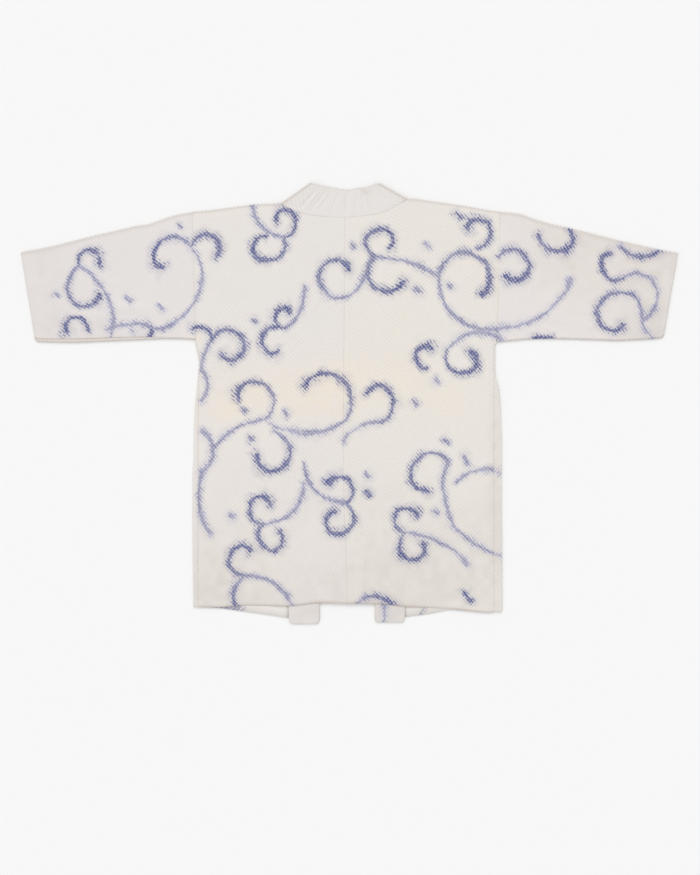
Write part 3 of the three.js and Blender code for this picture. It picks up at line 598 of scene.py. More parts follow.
def silk(name, base, warm, relief=1.0, grid=1.0):
    """Crimped, dot-tied silk. base and warm are its colour in clean and yellowed
    places, and grid how strong the painted shade in the furrows between the dots is."""
    mat = bpy.data.materials.new(name)
    mat.use_nodes = True
    t = mat.node_tree
    t.nodes.clear()
    N = Nodes(t)
    out = N.new("ShaderNodeOutputMaterial")
    bsdf = N.new("ShaderNodeBsdfPrincipled")
    t.links.new(bsdf.outputs[0], out.inputs[0])
    bsdf.inputs["Sheen Weight"].default_value = 0.12
    bsdf.inputs["Sheen Roughness"].default_value = 0.5
    bsdf.inputs["Specular IOR Level"].default_value = 0.2
    cut, p, q, _ = N.split("cut")
    _, deep, tone, inner = N.split("dye")
    _, yellow, grime_and_shade, line = N.split("stains_and_shade")
    # rows of dots: a counts those that lean like a backslash, b the others
    a = N.math("DIVIDE", N.math("ADD", p, q), DOT)
    b = N.math("DIVIDE", N.math("SUBTRACT", p, q), DOT)
    fore = N.math("COSINE", N.math("MULTIPLY", a, 2 * math.pi))
    back = N.math("COSINE", N.math("MULTIPLY", b, 2 * math.pi))
    dot = N.math("MULTIPLY", N.math("ADD", back, fore), 0.5)
    speck = N.noise(cut, 0.42, 2.0)
    fine = N.noise(cut, 1.7, 3.0, 0.6)
    patchy = N.noise(cut, 0.07, 2.0)
    # the dye crept along the furrows between the rows, a dash at a time
    dash = N.chance(N.math("FLOOR", a), N.math("FLOOR", N.math("ADD", b, 0.5)))
    knot = N.chance(N.math("FLOOR", N.math("ADD", a, 0.5)), N.math("FLOOR", N.math("ADD", b, 0.5)))
    creep = N.math("ADD", N.math("MULTIPLY", fore, -0.42), N.math("MULTIPLY", back, -0.20))
    creep = N.math("ADD", creep, N.math("MULTIPLY", N.math("SUBTRACT", dash, 0.5), 0.80))
    creep = N.math("ADD", creep, N.math("MULTIPLY", N.math("SUBTRACT", speck, 0.5), 1.00))
    creep = N.math("ADD", creep, N.math("MULTIPLY", N.math("SUBTRACT", patchy, 0.5), 0.90))
    dashed = N.ramp(N.math("ADD", deep, creep), -0.18, 0.80)
    soaked = N.math("ADD", deep, N.math("MULTIPLY", N.math("SUBTRACT", speck, 0.5), 0.9))
    soaked = N.math("ADD", soaked, N.math("MULTIPLY", N.math("SUBTRACT", patchy, 0.5), 0.8))
    soaked = N.ramp(soaked, -0.04, 0.62, 0.0, 0.88)
    cover = N.math("MAXIMUM", N.math("MAXIMUM", dashed, soaked), N.ramp(deep, -2.0, 0.4, 0.0, 0.27))
    # fringes of short dashes stand out from some stretches of a line
    stretch = N.noise(cut, 0.035, 1.0)
    fringe = N.math("ADD", deep, N.math("MULTIPLY", N.math("SUBTRACT", stretch, 0.5), 2.4))
    fringe = N.math("MULTIPLY", N.ramp(fringe, -1.0, 0.15), N.ramp(fore, -0.05, -0.55))
    fringe = N.math("MULTIPLY", fringe, N.math("MULTIPLY", N.ramp(dash, 0.15, 0.6, 0.2, 0.85), N.ramp(deep, -1.3, -0.65)))
    cover = N.math("MAXIMUM", cover, fringe)
    # each tied tip kept some of its ground colour
    tip = N.ramp(dot, 0.35, 1.0)
    kept = N.math("MULTIPLY", tip, N.ramp(knot, 0.1, 0.9, 0.05, 0.62))
    cover = N.math("MULTIPLY", cover, N.math("SUBTRACT", 1.0, kept))
    depth = N.math("MULTIPLY", cover, N.ramp(tone, 0.0, 1.0, 0.66, 1.0))
    depth = N.math("MULTIPLY", depth, N.ramp(N.noise(cut, 0.23, 2.0), 0.3, 0.7, 0.80, 1.05))
    depth = N.math("MULTIPLY", depth, N.math("SUBTRACT", 1.0, N.math("MULTIPLY", inner, 0.25)), clamp=True)
    colour = N.mix(N.ramp(tone, 0.15, 0.85), lin(143, 147, 192), lin(93, 100, 153))
    colour = N.mix(N.ramp(N.math("ADD", deep, N.math("MULTIPLY", dash, 0.7)), 0.5, 1.4, 0.0, 0.60), colour, lin(66, 74, 130))
    ground = N.mix(N.ramp(N.math("ADD", yellow, N.math("MULTIPLY", N.math("SUBTRACT", patchy, 0.5), 0.25)), -0.1, 1.1), base, warm)
    # greyer with grime and with painted shade: where the light falls off, and along the folds and rolled edges
    ground = N.mix(N.ramp(grime_and_shade, 0.0, 1.6, 0.0, 0.48), ground, lin(204, 196, 190))
    # painted light lifts the inner faces out of the shadow they lie in
    ground = N.mix(N.math("MULTIPLY", inner, 0.40), ground, lin(247, 243, 238))
    # painted shade darkens the furrows between the dots
    shade = N.math("MULTIPLY", N.math("SUBTRACT", 0.10, N.math("MULTIPLY", inner, 0.06)), grid)
    ground = N.mix(N.math("MULTIPLY", N.ramp(fore, 0.2, -1.0), shade), ground, lin(196, 190, 184))
    shade = N.math("MULTIPLY", shade, N.ramp(q, 60, 300, 1.05, 0.66))
    ground = N.mix(N.math("MULTIPLY", N.ramp(back, 0.2, -1.0), shade), ground, lin(196, 190, 184))
    # the tips are painted lighter: a painted highlight on the plain ground, and by the dye also the white they kept
    ground = N.mix(N.math("MULTIPLY", tip, N.ramp(deep, -1.6, -0.2, 0.10, 0.60)), ground, lin(245, 243, 240))
    ground = N.mix(N.ramp(fine, 0.25, 0.75, 0.05, 0.0), ground, lin(190, 184, 178))
    # line tints the seams and edges brownish; along the rolled folds and the lip strip it is painted shade
    ground = N.mix(N.math("MULTIPLY", line, 0.75, clamp=True), ground, lin(186, 164, 146))
    t.links.new(N.mix(depth, ground, colour), bsdf.inputs["Base Color"])
    t.links.new(N.ramp(fine, 0.2, 0.8, 0.72, 0.90), bsdf.inputs["Roughness"])
    # bump: the puckered tips, the crimp between them and the threads
    tipped = N.math("POWER", N.math("MULTIPLY", N.math("ADD", dot, 1.0), 0.5), 2.2)
    h = N.math("MULTIPLY", tipped, N.math("SUBTRACT", 0.40, N.math("MULTIPLY", inner, 0.22)))
    h = N.math("ADD", h, N.math("MULTIPLY", N.noise(cut, 0.9, 2.0), 0.22))
    h = N.math("ADD", h, N.math("MULTIPLY", fine, 0.08))
    bump = N.new("ShaderNodeBump")
    bump.inputs["Distance"].default_value = 0.001
    bump.inputs["Strength"].default_value = relief
    t.links.new(h, bump.inputs["Height"])
    t.links.new(bump.outputs[0], bsdf.inputs["Normal"])
    return mat


SILK_L = silk("dyed_silk_left", lin(235, 230, 226), lin(243, 232, 217))
SILK_R = silk("dyed_silk_right", lin(236, 231, 225), lin(243, 232, 217))
SILK_S = silk("dyed_silk_sleeves", lin(232, 227, 225), lin(240, 230, 218), 0.55, 0.45)
SILK_C = silk("collar_silk", lin(233, 229, 226), lin(241, 230, 217), 0.8)

# ----------------------------------------------------------------------- body
def centre_x(y):
    return curve(CENTRE["y"], CENTRE["x"], y)


def body(side):
    s = -1 if side == "left" else 1
    (ax0, ay0), (ax1, ay1) = ARMHOLE[side]
    edge_y = np.concatenate([SIDE[side]["y"], [ay0, ay1]])
    edge_x = np.concatenate([SIDE[side]["sewn"], [ax0, ax1]])

    def side_x(y):
        return curve(edge_y, edge_x, y) - s * SEAM

    run = RUN[side]
    neck_x, neck_y = (NECK["sx"][0], NECK["sy"][0]) if side == "left" else (NECK["sx"][-1], NECK["sy"][-1])

    def collar_x(y):
        return curve(np.append(run["sy"], neck_y), np.append(run["sx"], neck_x), y) + s * (SEAM + 0.1)

    top_side, top_centre = ax1 - s * SEAM, s * SEAM
    n = (neck_x - top_side) / (top_centre - top_side)          # the neck point's share
    CF, CB = even(abs(neck_x - top_side) / STEP), even(abs(neck_x) / STEP)
    RB, RT, RF = even(770 / STEP), 8, even(790 / (2 * STEP))
    u = np.concatenate([np.linspace(0, n, CF + 1), np.linspace(n, 1, CB + 1)[1:]])
    sh = Sheet("body_%s_cloth" % side, RB + RT + RF, CF + CB, RB, CF)
    R, C = sh.R, sh.C
    P = np.zeros((R + 1, C + 1, 3))          # middle of the wall
    Nn = np.zeros_like(P)                     # outward
    cut = np.zeros_like(P)
    top_x = mix(top_side, top_centre, u)
    outer_y = np.where(u <= n + 1e-9, curve(SHOULDER[side]["x"], SHOULDER[side]["y"], top_x),
                       curve(NECK["sx"], NECK["sy"], top_x))
    # rise of the back over the collar run, by distance from the collar's seam
    rise_top = RISE * smooth((s * (neck_x - top_x) + 46) / 42) if side == "right" else RISE * smooth((top_x - neck_x + 46) / 42)
    if side == "right":
        rise_top = RISE * smooth((46 - (top_x - neck_x)) / 42)
    r = (BACK_MID + rise_top - FRONT_MID) / 2
    top_y = np.where(u <= n + 1e-9, outer_y - r - WALL / 2, outer_y)
    hem_x = mix(side_x(0.0), centre_x(5.0) + s * SEAM, u)
    hem_y = curve(HEM_BACK["x"], HEM_BACK["y"], hem_x)
    v = np.linspace(0, 1, RB + 1)[:, None]
    y = mix(hem_y[None, :], top_y[None, :], v)
    x = mix(side_x(y), centre_x(y) + s * SEAM, u[None, :])
    to_collar = (collar_x(y) - x) * (1 if side == "left" else -1)      # > 0 on the side's part
    rise = RISE * smooth((46 - to_collar) / 42)
    d_side = np.abs(x - side_x(y))
    d_centre = np.abs(x - centre_x(y))
    d_hem = y - hem_y[None, :]
    d_top = np.where(u[None, :] <= n, 99, top_y[None, :] - y)
    calm = smooth(d_side / 12) * smooth((top_y[None, :] - y) / 14) * smooth(0.25 + d_hem / 30)
    ridge = 0.9 * np.exp(-(d_centre / 30) ** 2) * smooth((y + 20) / 140)
    fold_under = (0.45 * (1 - smooth((d_centre - 9) / 2.5)) * smooth(d_centre / 1.2)) if side == "right" else 0.0
    z = BACK_MID + rise + lie(x, y) * calm + ridge + fold_under
    z = z + edge_dip(d_side) + edge_dip(d_centre, 0.25, 1.6) + edge_dip(d_top, 0.2, 2.5) + edge_dip(d_hem, 0.2, 2.0)
    # beside the neck it rises to the band's seam
    beside = smooth(1 - np.maximum((x - neck_x) * s, 0) / 18)
    z = z + 0.9 * (1 - neck_bell(x)) * np.exp(-np.maximum(top_y[None, :] - y, 0) / 7) * beside
    free = smooth(d_side / 10) * smooth(d_centre / 10) * smooth(d_hem / 10) * smooth((top_y[None, :] - y) / 10)
    wx, wy = wander(x, y, free)
    P[:RB + 1, :, 0], P[:RB + 1, :, 1], P[:RB + 1, :, 2] = x + wx, y + wy, z
    Nn[:RB + 1, :, 2] = 1
    # the dots stand in rows along and across the panel
    cut[..., 0] = -s * STEP * np.arange(C + 1)[None, :]
    cut[:RB + 1, :, 1] = STEP * np.arange(RB + 1)[:, None]
    # over the shoulder
    F = slice(0, CF + 1)
    z_top = z[-1, F]
    rr = (z_top - FRONT_MID) / 2
    for k in range(1, RT + 1):
        a = math.pi * (1 - k / RT)
        P[RB + k, F, 0] = x[-1, F]
        P[RB + k, F, 1] = top_y[F] + rr * math.sin(a)
        P[RB + k, F, 2] = FRONT_MID + rr - rr * math.cos(a)
        Nn[RB + k, F, 1], Nn[RB + k, F, 2] = math.sin(a), -math.cos(a)
        cut[RB + k, F, 1] = STEP * RB + 2 * STEP * k / RT * 2
    # down the front
    ff = u[F] / n
    fx = mix(side_x(-4.0), collar_x(-20.0), ff)
    fy = curve(HEM_FRONT[side]["x"], HEM_FRONT[side]["y"], fx)
    w = np.linspace(0, 1, RF + 1)[1:, None]
    yf = mix(top_y[None, F], fy[None, :], w)
    xf = mix(side_x(yf), collar_x(yf), ff[None, :])
    P[RB + RT + 1:, F, 0], P[RB + RT + 1:, F, 1], P[RB + RT + 1:, F, 2] = xf, yf, FRONT_MID
    Nn[RB + RT + 1:, F, 2] = -1
    cut[RB + RT + 1:, F, 1] = STEP * RB + 4 * STEP + 2 * STEP * np.arange(1, RF + 1)[:, None]
    ok = sh.here
    relief = np.zeros(ok.shape)
    relief[ok] = dots(cut[..., 0][ok], cut[..., 1][ok])
    # the rolled edges show the dots as a fine serration
    amp = np.full(ok.shape, 2 * RELIEF)
    roll = np.zeros(ok.shape)
    roll[RB:RB + RT + 1, F] = np.sin(np.pi * np.arange(RT + 1) / RT)[:, None]
    outer = P + Nn * (WALL / 2 + relief * amp * (1 + 0.8 * roll) + roll * 0.9 * (relief + 0.8))[..., None]
    inner = P - Nn * (WALL / 2)
    inner[:RB + 1, :, 2] = np.maximum(inner[:RB + 1, :, 2], WALL + 0.25 + np.minimum(rise, RISE))
    front = slice(RB + RT + 1, None)
    outer[front, :, 2] = np.maximum(outer[front, :, 2], 0.0)
    D, T = np.full(ok.shape, -3.0), np.zeros(ok.shape)
    Y, G, Ln = np.zeros(ok.shape), np.zeros(ok.shape), np.zeros(ok.shape)
    X_, Y_ = P[..., 0], P[..., 1]
    D[:RB + 1], T[:RB + 1] = dye(X_[:RB + 1], Y_[:RB + 1], UPPER, UPPER_DASHES)
    up_d, up_t = dye(X_[RB + 1:, F], Y_[RB + 1:, F], UPPER, UPPER_DASHES)
    fr_d, fr_t = dye(X_[RB + 1:, F], Y_[RB + 1:, F], FRONT_SCROLLS, FRONT_DASHES)
    near = smooth(1 - (top_y[None, F] - Y_[RB + 1:, F]) / 34)
    up_d = up_d - 4 * (1 - near)
    fr_d = fr_d - 4 * smooth((near - 0.3) / 0.5)
    D[RB + 1:, F] = np.maximum(up_d, fr_d)
    T[RB + 1:, F] = np.where(up_d > fr_d, up_t, fr_t)
    Y[ok], G[ok] = stains_and_shade(X_[ok], Y_[ok])
    # painted shade darkens the folds and the hem's edge
    d_fold = np.where(u[None, :] <= n + 1e-9, top_y[None, :] - y, 99)
    G[:RB + 1] += 1.5 * np.exp(-d_fold / 2.5) + 0.9 * np.exp(-d_hem / 2.5)
    G += 1.2 * roll
    Ln[:RB + 1] = (0.60 + 0.25 * noise(x, y, 50, 14)) * np.exp(-d_hem / 1.6) + 0.10 * np.exp(-d_centre / 0.9) + 0.10 * np.exp(-np.abs(d_top) / 1.0)
    # painted shade: a dark line along the rolled fold over the shoulder
    Ln += 0.75 * roll ** 2
    arm = smooth((Y_[:RB + 1] - 520) / 4)
    Ln[:RB + 1] += arm * np.exp(-d_side / 1.0) * (0.16 + 0.18 * smooth((700 - y) / 90)) + (1 - arm) * 0.10 * np.exp(-d_side / 1.0)
    bulge = np.zeros(ok.shape)
    bulge[0, 2:-2] = 0.35
    bulge[-1, 2:CF - 1] = 0.35
    data = {"cut": cut, "dye": np.stack([D, T, 0 * D], -1), "stains_and_shade": np.stack([Y, G, Ln], -1)}
    ob = sh.build(outer, inner, data, bulge, SILK_L if side == "left" else SILK_R)
    return ob


# -------------------------------------------------------------------- sleeves
def sleeve(side):
    t = SLEEVE[side]
    s = -1 if side == "left" else 1
    along = np.arange(len(t["tx"]), dtype=float)
    length = np.concatenate([[0], np.cumsum(np.abs(np.diff(t["tx"])))])
    R = even(length[-1] / SLEEVE_STEP)
    f = np.linspace(0, length[-1], R + 1)
    tx, ty, bx, by, lip = (curve(length, t[c], f) for c in ("tx", "ty", "bx", "by", "lip"))
    r, mid = (BACK_MID - FRONT_MID) / 2, (BACK_MID + FRONT_MID) / 2
    top, bot = np.stack([tx, ty], 1), np.stack([bx, by], 1)
    down = bot - top
    wide = np.linalg.norm(down, axis=1)
    down /= wide[:, None]
    ro = r + WALL / 2
    flat = wide - 2 * ro
    # Across: from the seam on the upper side, round the bottom edge, under, round
    # the top edge and back over to the seam.
    lipf = np.maximum(lip - ro, 0.4)
    nl, nr, nf = 4, 8, even(flat.max() / SLEEVE_STEP)
    C = nl + nr + nf + nr + nf
    P = np.zeros((R + 1, C + 1, 3))
    Nn = np.zeros_like(P)
    which = np.zeros((R + 1, C + 1))
    arc = np.zeros((R + 1, C + 1))
    A = top + down * ro                     # inner end of the top roll
    B = bot - down * ro                     # inner end of the bottom roll
    c = 0

    def put(c, xy, z, nxy, nz, part, dist):
        P[:, c, 0], P[:, c, 1], P[:, c, 2] = xy[:, 0], xy[:, 1], z
        Nn[:, c, 0], Nn[:, c, 1], Nn[:, c, 2] = nxy[:, 0], nxy[:, 1], nz
        which[:, c] = part
        arc[:, c] = dist

    zero = np.zeros(R + 1)
    for k in range(nl):                     # lip on the upper side
        d = lipf * (1 - k / nl)
        put(c, B - down * d[:, None], BACK_MID + zero, down * 0, 1 + zero, 0, 2 * ro * math.pi + flat + d)
        c += 1
    for k in range(nr):                     # bottom roll
        a = math.pi * k / nr
        put(c, B + down * (r * math.sin(a)), mid + r * math.cos(a) + zero, down * math.sin(a), math.cos(a) + zero, 1, ro * (2 * math.pi - a) + flat)
        c += 1
    for k in range(nf):                     # under side
        g = k / nf
        put(c, mix(B, A, g), FRONT_MID + zero, down * 0, -1 + zero, 2, ro * math.pi + flat * (1 - g))
        c += 1
    for k in range(nr):                     # top roll
        a = math.pi * k / nr
        put(c, A - down * (r * math.sin(a)), mid - r * math.cos(a) + zero, -down * math.sin(a), -math.cos(a) + zero, 3, ro * (math.pi - a) + zero)
        c += 1
    last = C - c
    for k in range(last + 1):               # upper side, down to the seam
        g = k / last
        end = B - down * (lipf + 0.08)[:, None]
        put(c, mix(A, end, g), BACK_MID + zero, down * 0, 1 + zero, 4, -np.linalg.norm(end - A, axis=1) * g)
        c += 1
    sh = Sheet("sleeve_%s_cloth" % side, R, C)
    X_, Y_ = P[..., 0], P[..., 1]
    # cut coordinates, turned with the sleeve's grain
    g = math.radians(GRAIN[side])
    px, py = A[:, None, 0] - down[:, None, 0] * arc - tx[-1], A[:, None, 1] - down[:, None, 1] * arc - 768.0
    cp = px * math.cos(g) + py * math.sin(g)
    cq = -px * math.sin(g) + py * math.cos(g)
    cut = np.stack([cp, cq, 0 * cp], -1)
    upper = (which == 4) | (which == 0)
    d_cuff = np.linspace(0, length[-1], R + 1)[:, None] + 0 * X_
    d_arm = length[-1] - d_cuff
    d_top = np.hypot(X_ - A[:, None, 0], Y_ - A[:, None, 1])
    d_bot = np.hypot(X_ - B[:, None, 0], Y_ - B[:, None, 1])
    d_seam = np.where(which == 4, np.abs(d_bot - lipf[:, None]), np.where(which == 0, np.abs(lipf[:, None] - d_bot), 99))
    calm = smooth(d_top / 16) * smooth(d_bot / 16) * smooth(d_arm / 12) * smooth(0.35 + d_cuff / 30)
    up = np.where(upper, lie(X_, Y_) * calm + edge_dip(d_arm) * 1.0 + edge_dip(d_cuff, 0.35, 2.0), 0)
    # the upper edge of the seam lies on the lip
    up = up + np.where(which == 4, 0.45 * np.exp(-(d_seam / 5) ** 2) - 0.25 * np.exp(-d_seam / 1.0), 0)
    up = up - np.where(which == 0, 0.25 * np.exp(-d_seam / 1.5), 0)
    P[..., 2] += up
    wx, wy = wander(X_, Y_, calm * upper * smooth(d_cuff / 10))
    P[..., 0] += wx
    P[..., 1] += wy
    X_, Y_ = P[..., 0], P[..., 1]
    relief = dots(cut[..., 0], cut[..., 1])
    roll = np.where(np.isin(which, (1, 3)), 1 - np.abs(Nn[..., 2]) ** 2, 0)
    outer = P + Nn * (WALL / 2 + relief * 1.4 * RELIEF * (1 + 1.6 * roll) + roll * 0.9 * (relief + 0.8))[..., None]
    # the open ends are finely toothed
    teeth = 0.6 * (np.cos(2 * np.pi * cut[..., 1] / DOT) - 1) * np.exp(-d_cuff / 2.0) * (0.8 + 0.4 * noise(X_, Y_, 20, 15))
    outer[..., 0] += s * teeth
    inner = P - Nn * (WALL / 2)
    inner[..., 0] += s * teeth
    outer[..., 2] = np.maximum(outer[..., 2], 0.0)
    D, T = dye(X_, Y_, UPPER, UPPER_DASHES)
    # the hidden side has scrolls of its own, away from the folds
    other_x = -X_ + (14 if side == "left" else 26)
    D2, T2 = dye(other_x, Y_ + 4, UPPER, UPPER_DASHES)
    near = smooth(1 - np.minimum(d_top, d_bot) / 30)
    low = which == 2
    a_, b_ = D - 4 * (1 - near), D2 - 4 * smooth((near - 0.3) / 0.5)
    D, T = np.where(low, np.maximum(a_, b_), D), np.where(low, np.where(a_ > b_, T, T2), T)
    Y, G = stains_and_shade(X_, Y_)
    lip_cut = smooth((lip[:, None] - 2.2) / 2)
    D = np.where((which == 0) | (which == 1), D - 3 * lip_cut, D)
    # painted shade: greyer towards the top fold, on the rolls and on the lip strip by the seam
    G += np.where(which == 4, 1.5 * np.exp(-d_top / 2.5) + 0.45 * np.exp(-d_top / 16), 0) + 1.2 * roll
    G += 0.6 * lip_cut * (which <= 1)
    # seam and cuff lines, and painted shade as dark lines along the rolls and the lip strip
    Ln = 0.45 * np.exp(-d_seam / 1.0) * (0.4 + 0.6 * lip_cut) + 0.12 * lip_cut * (which == 0) + 0.75 * roll ** 2 * (which == 3) + 0.60 * roll * (which == 1) + 0.22 * np.exp(-d_cuff / 1.2) * (which != 2)
    Ln = Ln + np.where(which == 4, 0.20 * np.exp(-d_arm / 1.0) * smooth((700 - Y_) / 80), 0)
    bulge = np.zeros(X_.shape)
    bulge[0, 2:-2] = 0.35
    data = {"cut": cut, "dye": np.stack([D, T, 0 * D], -1), "stains_and_shade": np.stack([Y + 0.35 * lip_cut * (which <= 1), G, Ln], -1)}
    return sh.build(outer, inner, data, bulge, SILK_S)


# -------------------------------------------------------------------- gussets
def gusset(side):
    t = SIDE[side]
    s = -1 if side == "left" else 1
    low = float(curve(HEM_BACK["x"], HEM_BACK["y"], s * 298))
    high = t["y"][-1] + 6
    R = even((high - low) / STEP)
    y = np.linspace(low, high, R + 1)
    sewn = curve(t["y"], t["sewn"], y) + s * SEAM
    fold = curve(t["y"], t["fold"], y)
    r, mid = (BACK_MID - FRONT_MID) / 2, (BACK_MID + FRONT_MID) / 2
    flat = fold - s * (r + WALL / 2)
    nf, nr = 8, 8
    C = 2 * nf + nr
    P = np.zeros((R + 1, C + 1, 3))
    Nn = np.zeros_like(P)
    cutq = np.zeros((R + 1, C + 1))
    for c in range(C + 1):
        if c <= nf:
            x = mix(sewn, flat, c / nf)
            P[:, c, 0], P[:, c, 2], Nn[:, c, 2] = x, BACK_MID, 1
            cutq[:, c] = -np.abs(flat - x)
        elif c < nf + nr:
            a = math.pi * (c - nf) / nr
            P[:, c, 0], P[:, c, 2] = flat + s * r * math.sin(a), mid + r * math.cos(a)
            Nn[:, c, 0], Nn[:, c, 2] = s * math.sin(a), math.cos(a)
            cutq[:, c] = (r + WALL / 2) * a
        else:
            x = mix(flat, sewn, (c - nf - nr) / nf)
            P[:, c, 0], P[:, c, 2], Nn[:, c, 2] = x, FRONT_MID, -1
            cutq[:, c] = (r + WALL / 2) * math.pi + np.abs(flat - x)
        P[:, c, 1] = y
    top = Nn[..., 2] > 0.5
    X_, Y_ = P[..., 0], P[..., 1]
    d_sewn = np.abs(X_ - sewn[:, None])
    P[..., 2] += np.where(top, edge_dip(d_sewn) + 0.25 * (1 + noise(X_, Y_, 30, 4)) * smooth(d_sewn / 4), 0)
    cut = np.stack([cutq * -s, STEP * np.arange(R + 1)[:, None] + 0 * X_, 0 * X_], -1)
    relief = dots(cut[..., 0], cut[..., 1])
    outer = P + Nn * (WALL / 2 + relief * 2 * RELIEF * np.where(np.abs(Nn[..., 2]) < 0.9, 1.7, 0.8))[..., None]
    outer[..., 2] = np.maximum(outer[..., 2], 0.0)
    inner = P - Nn * (WALL / 2)
    D, T = dye(X_, Y_, UPPER, UPPER_DASHES)
    Y, G = stains_and_shade(X_, Y_)
    Ln = 0.22 * np.exp(-d_sewn / 1.0) + 0.25 * np.exp(-(Y_ - low) / 1.3)
    bulge = np.zeros(X_.shape)
    bulge[0, 2:-2] = 0.3
    sh = Sheet("machi_%s_cloth" % side, R, C)
    data = {"cut": cut, "dye": np.stack([D - 0.35, T * 0.8, 0 * D], -1), "stains_and_shade": np.stack([Y, G + 0.1, Ln], -1)}
    return sh.build(outer, inner, data, bulge, SILK_L if side == "left" else SILK_R)


